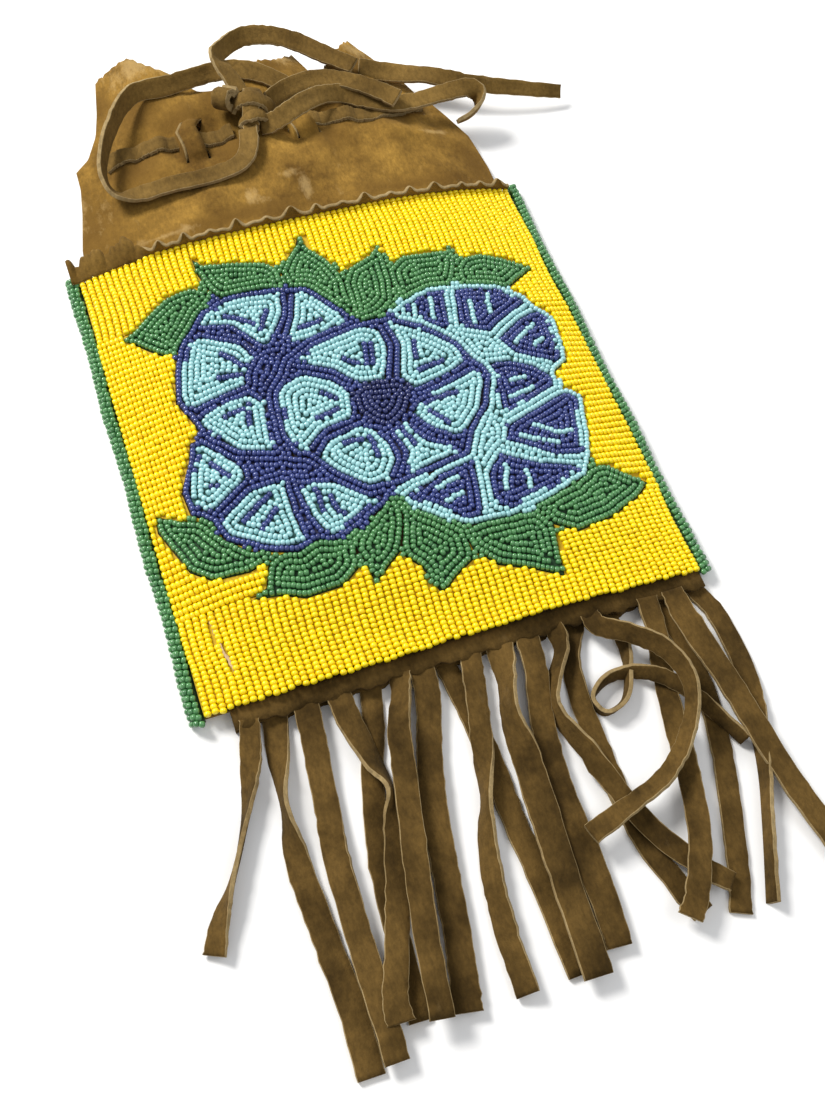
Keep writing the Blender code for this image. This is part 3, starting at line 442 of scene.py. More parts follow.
def depth_inside(points, edges):
    """How deep each x, y point lies inside an outline, less than 0 outside it."""
    a = edges[:, 0]
    ab = edges[:, 1] - a
    out = np.empty(len(points))
    for start in range(0, len(points), 4000):
        p = points[start:start + 4000]
        ap = p[:, None] - a[None]
        t = np.clip((ap * ab).sum(2) / np.maximum((ab * ab).sum(1), 1e-12), 0, 1)
        near = np.linalg.norm(ap - ab * t[..., None], axis=2).min(1)
        y0 = edges[:, 0, 1]
        y1 = edges[:, 1, 1]
        over = (y0[None] > p[:, 1:2]) != (y1[None] > p[:, 1:2])
        safe = np.where(np.abs(y1 - y0) < 1e-9, 1.0, y1 - y0)
        share = (p[:, 1:2] - y0[None]) / safe[None]
        cross = edges[:, 0, 0][None] + share * (edges[:, 1, 0] - edges[:, 0, 0])[None]
        inside = ((over & (cross > p[:, 0:1])).sum(1) % 2).astype(bool)
        out[start:start + 4000] = np.where(inside, near, -near)
    return out


def contour_lines(depth, xs, ys, level):
    """Lines of equal depth, as lists of points, by marching over the grid's squares."""
    links = {}

    def crossing(i, j, k, m):
        a = depth[j, i] - level
        b = depth[m, k] - level
        t = a / (a - b)
        return (xs[i] + (xs[k] - xs[i]) * t, ys[j] + (ys[m] - ys[j]) * t)

    high = depth > level
    code = high[:-1, :-1] * 1 + high[:-1, 1:] * 2 + high[1:, 1:] * 4 + high[1:, :-1] * 8
    for j, i in zip(*np.nonzero((code > 0) & (code < 15))):
        corners = ((i, j), (i + 1, j), (i + 1, j + 1), (i, j + 1))
        found = []
        for n in range(4):
            p = corners[n]
            q = corners[(n + 1) % 4]
            if high[p[1], p[0]] != high[q[1], q[0]]:
                found.append((min(p, q), max(p, q)))
        for a, b in zip(found[::2], found[1::2]):
            links.setdefault(a, []).append(b)
            links.setdefault(b, []).append(a)
    lines = []
    while links:
        start = next((k for k, v in links.items() if len(v) == 1), next(iter(links)))
        line = [start]
        while True:
            here = line[-1]
            if here not in links:
                break
            ahead = links[here]
            if not ahead:
                links.pop(here)
                break
            step = ahead.pop()
            if not ahead:
                links.pop(here)
            if step in links and here in links[step]:
                links[step].remove(here)
                if not links[step]:
                    links.pop(step)
            line.append(step)
        lines.append(np.array([crossing(a[0], a[1], b[0], b[1]) for a, b in line]))
    return sorted(lines, key=len, reverse=True)


def along(line, pitch, closed):
    """Evenly spaced places and directions along a line."""
    step = np.linalg.norm(np.diff(line, axis=0), axis=1)
    total = step.sum()
    if total < pitch * 0.8:
        return np.empty((0, 2)), np.empty((0, 2))
    count = max(1, int(round(total / pitch)))
    marks = (np.arange(count) + (0 if closed else 0.5)) * total / count
    run = np.concatenate([[0], np.cumsum(step)])
    places = np.stack([np.interp(marks, run, line[:, k]) for k in (0, 1)], 1)
    before = np.stack([np.interp(np.maximum(marks - 0.8, 0), run, line[:, k]) for k in (0, 1)], 1)
    after = np.stack([np.interp(np.minimum(marks + 0.8, total), run, line[:, k]) for k in (0, 1)], 1)
    way = after - before
    return places, way / np.maximum(np.linalg.norm(way, axis=1), 1e-9)[:, None]


class Beadwork:
    """All beads sewn so far, with a grid of cells to look up near ones."""

    def __init__(self):
        self.rows = []
        self.cells = {}

    def near(self, p):
        cx = int(p[0] // CELL)
        cy = int(p[1] // CELL)
        return [n for i in (cx - 1, cx, cx + 1) for j in (cy - 1, cy, cy + 1)
                for n in self.cells.get((i, j), ())]

    def crowded(self, p, way, run_least=1.12, off_least=1.46):
        for n in self.near(p):
            x, y, wx, wy = self.rows[n][1:5]
            dx = x - p[0]
            dy = y - p[1]
            for ux, uy in ((way[0], way[1]), (wx, wy)):
                if abs(dx * ux + dy * uy) < run_least and abs(dx * uy - dy * ux) < off_least:
                    return True
        return False

    def sew(self, colour, places, ways, around=None, **least):
        """Adds beads where there is room. Patches beside them take the colour around, or else their own."""
        for p, way in zip(places, ways):
            if not self.crowded(p, way, **least):
                self.cells.setdefault((int(p[0] // CELL), int(p[1] // CELL)), []).append(len(self.rows))
                self.rows.append([colour, p[0], p[1], way[0], way[1], around or colour])

    def patch(self):
        """Beads of the nearest colour wherever a bare spot is left inside the pattern."""
        wide, tall = PATCH_AREA
        for y in np.arange(-tall, tall, PATCH_STEP):
            for x in np.arange(-wide, wide, PATCH_STEP):
                close = [(math.hypot(self.rows[n][1] - x, self.rows[n][2] - y), n) for n in self.near((x, y))]
                near = [pair for pair in close if pair[0] < PATCH_REACH]
                others = [pair for pair in near if self.rows[pair[1]][0] != "yellow"]
                if len(others) < 0.6 * len(near) or min(near, default=(0,))[0] < PATCH_ROOM:
                    continue
                _, _, _, wx, wy, colour = self.rows[min(others)[1]]
                self.sew(colour, [(x, y)], [(wx, wy)], run_least=1.0, off_least=1.25)

    def drop_strays(self):
        """Takes out yellow beads that stand alone among other colours."""
        kept = []
        for row in self.rows:
            if row[0] == "yellow":
                close = [self.rows[n] for n in self.near(row[1:3])]
                mates = sum(r[0] == "yellow" and math.hypot(r[1] - row[1], r[2] - row[2]) < STRAY_REACH
                            for r in close)
                if mates < STRAY_MATES:
                    continue
            kept.append(row)
        self.rows = []
        self.cells = {}
        for colour, x, y, wx, wy, around in kept:
            self.sew(colour, [(x, y)], [(wx, wy)], around, run_least=0.0, off_least=0.0)

    def settle(self, rounds=24):
        """Nudges beads apart where they crowd and into the gaps beside them."""
        at = np.array([row[1:3] for row in self.rows])
        way = np.array([row[3:5] for row in self.rows])
        pairs = {(min(i, n), max(i, n)) for i, p in enumerate(at) for n in self.near(p) if n != i}
        i, j = np.array(sorted(pairs)).T
        start = at.copy()
        for _ in range(rounds):
            gap = at[j] - at[i]
            size = np.zeros(len(i))
            for w in (way[i], way[j]):
                run = (gap * w).sum(1) / SETTLED_RUN
                off = (gap[:, 0] * w[:, 1] - gap[:, 1] * w[:, 0]) / SETTLED_OFF
                size += np.sqrt(run**2 + off**2) / 2
            push = np.clip(1 - size, 0, 0.5)[:, None] * unit(gap) * 0.42
            np.add.at(at, j, push)
            np.add.at(at, i, -push)
            at += (start - at) * 0.06
        for row, p in zip(self.rows, at):
            row[1:3] = p


def grid_over(edges):
    low = edges.reshape(-1, 2).min(0)
    high = edges.reshape(-1, 2).max(0)
    grid = DEPTH_GRID
    return [np.arange(low[k] - 3 * grid, high[k] + 4 * grid, grid) for k in (0, 1)]


def depth_over(edges, xs, ys):
    """Depths inside an outline at each place of a grid."""
    gx, gy = np.meshgrid(xs, ys)
    return depth_inside(np.stack([gx.ravel(), gy.ravel()], 1), edges).reshape(gx.shape)


def sew_rim(work, flower, colour):
    """One row of beads just inside the outer edge of a flower and its petals."""
    outlines = [top_outlines(node) for name, node in NODES.items()
                if name == flower + "_flower" or name.startswith(flower + "_petal")]
    if flower == "centre":
        outlines.append(top_outlines(NODES["centre_heart"]))
    xs, ys = grid_over(np.concatenate(outlines))
    whole = np.max([depth_over(edges, xs, ys) for edges in outlines], axis=0)
    around = contour_lines(whole, xs, ys, -0.2)[0]
    depth = softened(depth_over(np.stack([around[:-1], around[1:]], 1), xs, ys), 4)
    for line in contour_lines(depth, xs, ys, FIRST_ROW + 0.15):
        work.sew(colour, *along(line, BEAD_PITCH, True))


def fill_field(work, name, colour, accents=(), accent_colour=None, soft=12, thin=(0.78, 0.6, 0.45)):
    """Rows of beads that follow a field's outline inwards, with accent rows sewn first."""
    edges = top_outlines(NODES[name])
    for line, rows in accents:
        line = eased(line, 3)
        for row in range(rows):
            shift = (row - (rows - 1) / 2) * ROW_STEP
            way = unit(np.gradient(line, axis=0))
            moved = line + np.stack([-way[:, 1], way[:, 0]], 1) * shift
            places, ways = along(moved, BEAD_PITCH, False)
            keep = depth_inside(places, edges) > 0.6 if len(places) else []
            work.sew(accent_colour, places[keep], ways[keep], colour)
    xs, ys = grid_over(edges)
    depth = softened(depth_over(edges, xs, ys), soft)
    rows = np.arange(FIRST_ROW, depth.max(), ROW_STEP)
    for level in [*rows, *(rows + 1.66), *(rows + 1.5), *thin]:
        for line in contour_lines(depth, xs, ys, level):
            work.sew(colour, *along(line, BEAD_PITCH, True))


def softened(depth, rounds):
    """The depths averaged with their neighbours, which rounds the corners of the rows."""
    for _ in range(rounds):
        padded = np.pad(depth, 1, mode="edge")
        depth = (4 * depth + padded[:-2, 1:-1] + padded[2:, 1:-1]
                 + padded[1:-1, :-2] + padded[1:-1, 2:]) / 8
    return depth


ACCENTS = {
    "upper_left_petal_1": [([(-35.4, 45.3), (-31.7, 43.2), (-26.9, 38.9)], 1),
        ([(-21.9, 43.7), (-23.8, 40), (-25.9, 35.8)], 1)],
    "upper_left_petal_2": [([(-14.8, 33.7), (-5.9, 34.5)], 1)],
    "upper_left_petal_3": [([(-40.1, 32.1), (-34.3, 24.7)], 1), ([(-43.5, 23.4), (-35.4, 22.1)], 1)],
    "upper_left_petal_4": [([(-45.5, 9.6), (-38, 10.2)], 1), ([(-36.6, 11.8), (-38, 8.4), (-38.6, 3)], 1)],
    "lower_left_petal_1": [([(-53.5, -4.2), (-48.5, -11.1)], 1), ([(-55.4, -11.1), (-52.7, -13.2)], 1)],
    "lower_left_petal_2": [([(-49.6, -26.8), (-39.1, -20.3)], 1), ([(-45.4, -31.1), (-38.8, -25.3)], 1)],
    "lower_left_petal_3": [([(-26.7, -22.6), (-26.4, -31.6)], 1),
        ([(-23, -26.3), (-22.7, -30.5), (-20.9, -34.2)], 1)],
    "centre_petal_1": [([(4.6, 22.6), (3, 13.7)], 2), ([(-4.8, 18.9), (1, 13.7)], 1)],
    "centre_petal_2": [([(18.9, 19.5), (17.3, 12.1)], 1), ([(15.7, 7.9), (25.7, 9.5)], 1)],
    "centre_petal_3": [([(13.6, -4.8), (16.8, -3.6), (25.7, -3)], 1), ([(14.2, -7), (19.4, -13.2)], 1)],
    "centre_petal_4": [([(-15.3, 8.9), (-10.6, 4.7)], 1), ([(-19.5, -0.3), (-11.1, 1.3)], 1)],
    "centre_petal_5": [([(-14.3, -10.8), (-7.8, -10.8)], 1),
        ([(-6, -10.5), (-5.3, -14.2), (-5.3, -18.4)], 1)],
    "centre_petal_6": [([(4.6, -11.4), (6.8, -17.9)], 1)],
    "upper_right_petal_1": [([(23.9, 32.9), (22.9, 28.9)], 1), ([(30, 34.2), (27.9, 25)], 1)],
    "upper_right_petal_2": [([(42.1, 30.4), (40.3, 20.4)], 1), ([(49.2, 31.8), (46.8, 23.2)], 1)],
    "upper_right_petal_3": [([(50, 10.8), (60, 17.4)], 1), ([(55.8, 8.6), (61, 11.3)], 1)],
    "upper_right_petal_4": [([(42.9, -3), (49, -2.6)], 1), ([(40.8, -9.5), (50, -6.6)], 1)],
    "lower_right_petal_1": [([(43.7, -20.1), (47.4, -22.6), (51.6, -24.9), (56, -24.5)], 1),
        ([(38, -22.6), (43.2, -25.3), (49.6, -28.8)], 1)],
    "lower_right_petal_2": [([(30.3, -31.3), (27.1, -40)], 1), ([(36, -34.6), (34.5, -42)], 1)],
    "lower_right_petal_3": [([(6.6, -33.7), (15.5, -31.6)], 1), ([(8.4, -38.6), (14.6, -37)], 1)],
}
FLOWER_COLOURS = {**dict.fromkeys(("centre", "upper_left", "lower_left"), ("navy", "light_blue")),
                  **dict.fromkeys(("upper_right", "lower_right"), ("light_blue", "navy"))}

# Where the yellow lanes give way to rows across, in millimetres up the bag
LANES_START_LEFT = 50.5
LANES_START_RIGHT = 26.0
ROWS_END = -49.5

# A worn place at the lower left, where lanes have parted and the thread shows
WORN_THREAD = [(-66.4, -52.4), (-65.7, -58), (-65, -63), (-63.6, -68.4)]


def beside_wear(x, y):
    """How far the worn place pushes a bead sideways."""
    low = WORN_THREAD[-1][1]
    high = WORN_THREAD[0][1]
    if not low < y < high:
        return 0.0
    gap = x - between([(b, a) for a, b in WORN_THREAD[::-1]], y)
    open_by = 0.55 * math.sin(math.pi * (y - low) / (high - low)) ** 0.5
    return math.copysign(open_by * math.exp(-abs(gap) / 3), gap)


def worn_thread():
    route = [(x, y, float(bead_middle(x, y)) + 0.35, 0) for x, y in WORN_THREAD]
    lace("worn_thread", route, 0.8, 0.35, [THREAD], "yellow_beads")


def sew_ground(work):
    """Yellow lanes that run up and down at both ends, and rows across at both sides."""
    others = [top_outlines(node) for name, node in NODES.items()
              if name.startswith("leaf_") or name.endswith("_flower") or "_petal_" in name]
    lanes = int(2 * (PANEL_HALF + 0.4) / ROW_PITCH)
    places = []
    ways = []
    top = PANEL_TOP + 0.2
    for i in range(lanes):
        x = -PANEL_HALF - 0.1 + (i + 0.5) * (2 * PANEL_HALF + 0.2) / lanes
        ragged = RNG.normal(0, 0.25)
        for start, end in ((LANES_START_LEFT if x < 10 else LANES_START_RIGHT, top + ragged),
                           (PANEL_BOTTOM - 1.3 + 0.3 * math.sin(x * 0.07) + ragged, ROWS_END)):
            count = int((end - start) / BEAD_PITCH)
            for k in range(count):
                y = start + (k + 0.5) * (end - start) / count
                lean = 0.28 * math.sin(y * 0.19 + x * 0.05) + beside_wear(x, y)
                places.append((x + lean, y))
                ways.append((0.03, 1.0))
    for sign, high in ((-1, LANES_START_LEFT), (1, LANES_START_RIGHT)):
        rows = int((high - ROWS_END) / ROW_PITCH)
        for j in range(rows):
            y = ROWS_END + (j + 0.5) * (high - ROWS_END) / rows
            for k in range(int(PANEL_HALF / BEAD_PITCH)):
                x = sign * (PANEL_HALF - 0.4 - k * BEAD_PITCH)
                places.append((x, y + 0.22 * math.sin(x * 0.21 + y * 0.11)))
                ways.append((1.0, 0.02))
    places = np.array(places)
    ways = np.array(ways)
    free = np.ones(len(places), bool)
    for edges in others:
        free &= depth_inside(places, edges) < -0.3
    places = places[free]
    ways = ways[free]
    work.sew("yellow", places, ways / np.linalg.norm(ways, axis=1)[:, None])


def bead_shape():
    """One bead: a short barrel with rounded shoulders."""
    sides = 8
    profile = [(-0.5, 0.52), (-0.41, 0.84), (-0.15, 1.0), (0.15, 1.0), (0.41, 0.84), (0.5, 0.52)]
    verts = [(u, r * math.cos(2 * math.pi * k / sides), r * math.sin(2 * math.pi * k / sides))
             for u, r in profile for k in range(sides)]
    faces = [(j + k, j + (k + 1) % sides, j + sides + (k + 1) % sides, j + sides + k)
             for j in range(0, sides * (len(profile) - 1), sides) for k in range(sides)]
    caps = [tuple(range(sides))[::-1], tuple((len(profile) - 1) * sides + k for k in range(sides))]
    return np.array(verts), faces, caps


def bead_mesh(name, centres, ways, ups, lengths, widths):
    """A mesh of one bead at each centre, its hole along the way it is strung."""
    shape, faces, caps = bead_shape()
    count = len(centres)
    ways = ways / np.linalg.norm(ways, axis=1)[:, None]
    sides = np.cross(ups, ways)
    sides /= np.linalg.norm(sides, axis=1)[:, None]
    ups = np.cross(ways, sides)
    local = np.repeat(shape[None], count, 0)
    turned = (local[..., :1] * (ways * lengths[:, None])[:, None]
              + local[..., 1:2] * (sides * widths[:, None] / 2)[:, None]
              + local[..., 2:] * (ups * widths[:, None] / 2)[:, None])
    points = (centres[:, None] + turned).reshape(-1, 3) * MM
    offsets = (np.arange(count) * len(shape))[:, None, None]
    quads = (np.array(faces)[None] + offsets).reshape(-1, 4)
    ends = (np.array(caps)[None] + offsets).reshape(-1, len(caps[0]))
    mesh = bpy.data.meshes.new(name)
    mesh.vertices.add(len(points))
    mesh.vertices.foreach_set("co", points.ravel())
    mesh.loops.add(quads.size + ends.size)
    mesh.loops.foreach_set("vertex_index", np.concatenate([quads.ravel(), ends.ravel()]))
    mesh.polygons.add(len(quads) + len(ends))
    starts = np.concatenate([np.arange(len(quads)) * 4,
                             quads.size + np.arange(len(ends)) * ends.shape[1]])
    mesh.polygons.foreach_set("loop_start", starts)
    mesh.update(calc_edges=True)
    mesh.validate()
    mesh.shade_smooth()
    return mesh


def sewn_beads(name, rows, colour):
    """Beads at x, y, with a hole direction, lying on the crowned front."""
    rows = np.array(rows)
    x = rows[:, 0] + RNG.normal(0, 0.05, len(rows))
    y = rows[:, 1] + RNG.normal(0, 0.05, len(rows))
    z = bead_middle(x, y) + 0.15 + RNG.normal(0, 0.05, len(rows))
    dx = (bead_middle(x + 0.5, y) - bead_middle(x - 0.5, y))
    dy = (bead_middle(x, y + 0.5) - bead_middle(x, y - 0.5))
    ups = np.stack([-dx, -dy, np.ones(len(rows))], 1)
    turn = RNG.normal(0, 0.07, len(rows))
    wx = rows[:, 2] * np.cos(turn) - rows[:, 3] * np.sin(turn)
    wy = rows[:, 2] * np.sin(turn) + rows[:, 3] * np.cos(turn)
    ways = np.stack([wx, wy, wx * dx + wy * dy], 1)
    lengths = BEAD_LENGTH * (1 + RNG.normal(0, 0.05, len(rows)))
    widths = BEAD_WIDTH[colour] * (1 + RNG.normal(0, 0.035, len(rows)))
    mesh = bead_mesh(name, np.stack([x, y, z], 1), ways, ups, lengths, widths)
    piece(name, mesh, [GLASS[colour]], slot_of(colour))


def beadwork():
    work = Beadwork()
    for flower, colours in FLOWER_COLOURS.items():
        sew_rim(work, flower, colours[0])
    for name in sorted(NODES):
        if "_petal_" in name:
            ground, petal = FLOWER_COLOURS[name.split("_petal_")[0]]
            fill_field(work, name, petal, ACCENTS.get(name, ()), ground)
    fill_field(work, "centre_heart", "deep_navy", soft=5)
    for flower, colours in FLOWER_COLOURS.items():
        fill_field(work, f"{flower}_flower", colours[0], soft=4)
    for name in sorted(NODES):
        if name.startswith("leaf_"):
            fill_field(work, name, "green", soft=6, thin=(0.75, 0.55, 0.35, 0.2, 0.05))
    sew_ground(work)
    work.drop_strays()
    work.patch()
    work.settle()
    for name in sorted(NODES):
        colour = field_colour(name)
        if colour:
            backing(name, colour)
    for colour in GLASS:
        beads = np.array([row[1:5] for row in work.rows if row[0] == colour])
        order = beads[np.argsort(-beads[:, 1], kind="stable")]
        parts = max(1, math.ceil(len(order) / BEADS_PER_PIECE))
        for i, rows in enumerate(np.array_split(order, parts)):
            sewn_beads(f"{colour}_beads_{i + 1}", rows, colour)
        print(colour, len(order), "beads")


def backing(name, colour):
    """The thread and cloth under one field, in the painted shade of its bead colour: the field's own solid,
    lowered to between its beads.
    """
    mesh = NODES[name].data.copy()
    mesh.materials.clear()
    for vert in mesh.vertices:
        top = float(bead_middle(vert.co.x / MM, vert.co.y / MM)) - 0.3
        vert.co.z = min(vert.co.z, top * MM)
    piece("under_" + name, mesh, [GAP_SHADE[colour]], slot_of(colour), (name,))


def field_colour(name):
    """The colour of beads that a CAD node stands for, or None."""
    if name.startswith("leaf_"):
        return "green"
    if name.startswith("ground_"):
        return "yellow"
    if name == "centre_heart":
        return "deep_navy"
    for flower, (ground, petal) in FLOWER_COLOURS.items():
        if name.startswith(flower + "_petal"):
            return petal
        if name == flower + "_flower":
            return ground
    return None


def edge_beads(name, side):
    """Beads whipped round the side seam in slanting stitches."""
    centres = []
    ways = []
    ups = []
    y = PANEL_BOTTOM - 2.2
    while y < EDGE_END:
        wave = side * 0.3 * (1 - math.cos(y * 0.13))
        start = 100 + RNG.normal(0, 5)
        for k in range(STITCH_BEADS):
            a = math.radians(start - STITCH_TURN * k)
            out = np.array([side * math.cos(a), 0.0, math.sin(a)])
            middle = np.array([side * (PANEL_HALF + 1.3) + wave, y + 0.5 * k, EDGE_ROLL])
            centres.append(middle + out * EDGE_ROLL + RNG.normal(0, 0.07, 3))
            ways.append((side * math.sin(a), 0.32, -math.cos(a)))
            ups.append(out)
        y += STITCH_PITCH
    count = len(centres)
    lengths = 1.55 * (1 + RNG.normal(0, 0.05, count))
    widths = 1.9 * (1 + RNG.normal(0, 0.05, count))
    mesh = bead_mesh(name, np.array(centres), np.array(ways), np.array(ups), lengths, widths)
    piece(name, mesh, [GLASS["green"]], "green_beads")
    # The core inside the roll takes the painted shade of the gaps between beads
    build = bmesh.new()
    bmesh.ops.create_cone(build, cap_ends=True, segments=12, radius1=EDGE_CORE * MM, radius2=EDGE_CORE * MM,
                          depth=(PANEL_TOP - PANEL_BOTTOM + 3) * MM)
    middle = Vector((side * (PANEL_HALF + 1.2), 0, EDGE_ROLL)) * MM
    turn = Matrix.Translation(middle) @ Matrix.Rotation(math.pi / 2, 4, "X")
    bmesh.ops.transform(build, matrix=turn, verts=build.verts)
    piece(name + "_core", finished(build, name + "_core"), [GAP_SHADE["green"]], "green_beads",
          (name.replace("_glass", ""),))


# Leather

def cuff():
    """The cuff: one tube of suede with slits, shallow folds, soft creases and a ragged cut top."""
    slits_start, slits_end = SLIT_ROWS
    slits = [b + s * (BRIDGE_WIDTH / 2 + t) for b in BRIDGES for s in (-1, 1) for t in (0, SLIT)]
    plain = [math.sin(math.pi / 2 * t) for t in np.linspace(-1, 1, 91)]
    shares = sorted([s for s in plain if all(abs(s * CUFF_HALF - x) > 0.5 for x in slits)]
                    + [x / CUFF_HALF for x in slits])
    rows = [*np.linspace(0, slits_start, 22), *np.linspace(slits_start, slits_end, 16)[1:],
            *np.linspace(slits_end, 1, 18)[1:]]
    build = bmesh.new()
    front = [[cuff_point(s, r, True) for s in shares] for r in rows]
    back = [[cuff_point(s, r, False) for s in shares[1:-1:3]] for r in rows]
    verts = [[build.verts.new(Vector(p) * MM) for p in f + b[::-1]] for f, b in zip(front, back)]
    narrow = {i for i, s in enumerate(shares) if any(abs(s * CUFF_HALF - x) < 0.01 for x in slits[::2])}
    around = len(verts[0])
    for low, high, r0, r1 in zip(verts, verts[1:], rows, rows[1:]):
        for i in range(around):
            if i in narrow and r0 >= slits_start - 1e-6 and r1 <= slits_end + 1e-6:
                continue
            k = (i + 1) % around
            build.faces.new((low[i], low[k], high[k], high[i])).smooth = True
    mesh = finished(build, "cuff_suede")
    # The cuff's points carry pale places (scuffs and painted highlights) and darker places (painted shade and
    # nap)
    for name, spots, most in (("scuffs_and_painted_highlights", SCUFF_AND_HIGHLIGHT_SPOTS, 1.0), ("nap_and_painted_shade", NAP_AND_SHADE_SPOTS, 0.85)):
        values = mesh.attributes.new(name, "FLOAT", "POINT").data
        for vert, value in zip(mesh.vertices, values):
            x, y = vert.co.x / MM, vert.co.y / MM
            value.value = most * max(math.exp(-((x - sx) / wide) ** 2 - ((y - sy) / tall) ** 2)
                                     for sx, sy, wide, tall in spots)
    thicken(piece("cuff_suede", mesh, [SUEDE, CUT_EDGE], "suede", ("cuff",)), LEATHER, -1, 1)


def cuff_mouth(share):
    """How far up the cuff reaches at a share of its width, whose sides draw in towards the mouth."""
    y = SLIT_TOP
    for _ in range(16):
        y = (y + between(CUFF_TOP, cuff_x(share, y))) / 2
    return y


def cuff_point(share, row, front):
    """A point of the cuff: its share of the width, its row up the cuff, and which wall it is on."""
    low = PANEL_TOP + 0.3
    slits_start, slits_end = SLIT_ROWS
    rough = share * CUFF_HALF
    ragged = 0.45 * math.sin(rough * 1.7) + 0.3 * math.sin(rough * 4.1 + 2)
    top = cuff_mouth(share) + ragged - (0 if front else 2.5)
    if row <= slits_start:
        y = low + (SLIT_BOTTOM - low) * row / slits_start
    elif row <= slits_end:
        y = SLIT_BOTTOM + (SLIT_TOP - SLIT_BOTTOM) * (row - slits_start) / (slits_end - slits_start)
    else:
        y = SLIT_TOP + (top - SLIT_TOP) * (row - slits_end) / (1 - slits_end)
    x = cuff_x(share, y)
    if not front:
        return (x, y, LEATHER + (0.3 if row else 0))
    rim = abs(share) >= 0.9999
    z = CUFF_RIM if rim else cuff_surface(x, y) + gathers(x, y)
    for bridge in BRIDGES:
        if abs(rough - bridge) <= BRIDGE_WIDTH / 2 + 0.01 and SLIT_BOTTOM < y < SLIT_TOP:
            z += (BRIDGE_LIFT - 0.8) * math.sin(math.pi * (y - SLIT_BOTTOM) / (SLIT_TOP - SLIT_BOTTOM)) ** 0.6
    return (x, y, z)


# Places along the seam where the crimped strip flares: x, how wide each flare is, and how far it goes
FLARES = [(-71, 4, 0.7), (-60, 4, 0.6), (-48, 2.6, 1), (-39.5, 2.4, 1.1), (-31, 2.2, 0.4), (-22, 2.9, 1.2),
    (-12, 2.4, 0.4), (-3.5, 4.2, 1.3), (5, 2.4, 0.8), (14, 2.2, 0.3), (22, 3.2, 1.1), (31, 2.2, 0.35),
    (38, 2.6, 0.8), (47, 3.4, 1), (57, 2, 0.5), (64, 2.2, 0.5), (71, 3, 1)]


def ruffle():
    """The crimped strip of suede that stands along the seam between the beads and the cuff."""
    build = bmesh.new()
    rows = []
    steps = 420
    across = 10
    for i in range(steps + 1):
        x = -77.5 + 152.5 * i / steps
        flare = sum(far * math.exp(-((x - at) / wide) ** 2) * math.cos(2.3 * (x - at) / wide)
                    for at, wide, far in FLARES)
        seam = cuff_surface(min(max(x, -71), 71), PANEL_TOP + 3)
        base = max(float(bead_middle(x, PANEL_TOP)), seam) + 1.1
        flap = float(smooth((-50 - x) / 7))
        bumps = flap * (1.1 * math.sin(x * 0.62) + 0.8 * math.sin(x * 1.3 + 1) + 0.35 * math.sin(x * 3.1))
        line = []
        for k in range(across + 1):
            t = k / across
            y = PANEL_TOP + 0.4 - 1.3 * flap - 0.5 * t + (1.5 - 0.4 * flap) * flare * t * t
            y += flap * (7.2 * t + bumps * t)
            z = (base - 0.5 + (2.6 + 1.1 * flare) * t * (1 - 0.55 * flap)
                 + flap * (1.3 + bumps * 0.5) * math.sin(t * math.pi * 0.8))
            line.append(build.verts.new((x * MM, y * MM, z * MM)))
        rows.append(line)
    for a, b in zip(rows, rows[1:]):
        for k in range(across):
            build.faces.new((a[k], b[k], b[k + 1], a[k + 1])).smooth = True
    mesh = finished(build, "ruffle_suede")
    thicken(piece("ruffle_suede", mesh, [RUFFLE, CUT_EDGE], "suede", ("ruffle",)), RUFFLE_LEATHER, 0, 1)


LOOP_LEFT = [(-6.4, 118.3, 2.7, 20), (-8.6, 110.1, 2.3, 12), (-13.5, 104.1, 1.9, 5), (-24.4, 102.1, 1.7, 0),
    (-36.6, 102.8, 1.8, 0), (-48.3, 102.8, 2.1, 5), (-55.2, 103.2, 4.2, 40), (-58.3, 108.3, 6.7, 70),
    (-57.8, 115.2, 8, 80), (-54.4, 124.6, 7.8, 78), (-49.9, 133.5, 8.2, 75), (-44.8, 141.2, 7.2, 70),
    (-38.6, 146.2, 4.7, 55), (-27.5, 146.8, 2.5, 45), (-17.9, 148.3, 3, 40), (-10.6, 149.1, 2.7, 35),
    (-3.3, 147.6, 2.4, 30), (3.4, 143.7, 2.1, 25), (8.3, 139.7, 1.7, 15)]
STRAND_TOP = [(-5.3, 133.5, 4.8, 10), (-6.3, 138.1, 6.4, 15), (-8.4, 144.2, 8.4, 25),
    (-9.1, 150.6, 7.9, 60), (-3.5, 157.1, 4.9, 60), (2.5, 160.6, 3.5, 45), (9.5, 160.7, 3.2, 35),
    (16.2, 158.8, 3.8, 30), (22.5, 155.5, 4.2, 25), (28.2, 150.2, 4.2, 20), (33.8, 144.6, 4, 15),
    (38.7, 139.9, 4, 10)]
STRAND_SHORT = [(3.7, 127.6, 3.9, 40), (9.2, 131, 3.7, 35), (17.2, 134, 4.3, 25), (24.5, 134.6, 5, 15),
    (32.1, 132, 5.3, 10), (39.1, 127.2, 5.4, 10), (44.5, 121.7, 6.2, 15), (47.5, 117.8, 7, 25)]
LOOP_RIGHT = [(2.4, 117.9, 3.7, 35), (6.3, 117.5, 6.5, 30), (12.8, 120.3, 7.2, 28), (20.9, 125.1, 5.6, 32),
    (30.2, 127.7, 3, 30), (37.5, 123.9, 2.7, 20), (44.3, 120.5, 2.9, 12), (52.4, 119.1, 4.3, 8),
    (60.9, 119, 7.3, 8), (69.3, 118.5, 13.4, 15), (74.6, 117.8, 14, 30), (77.7, 115.1, 13, 60),
    (76.6, 111.7, 10.8, 70), (72.7, 110, 8.6, 60), (68.3, 109.8, 3.6, 50)]
TAIL_LONG = [(48.7, 140.3, 1.7, 25), (57.3, 136.1, 5, 15), (64.8, 132.5, 9.2, 10), (73.2, 127.7, 9.2, 35),
    (80.9, 124.3, 8.8, 45), (90.2, 121.4, 8, 45), (101.1, 118.8, 6.6, 45), (112, 117, 4.8, 40)]
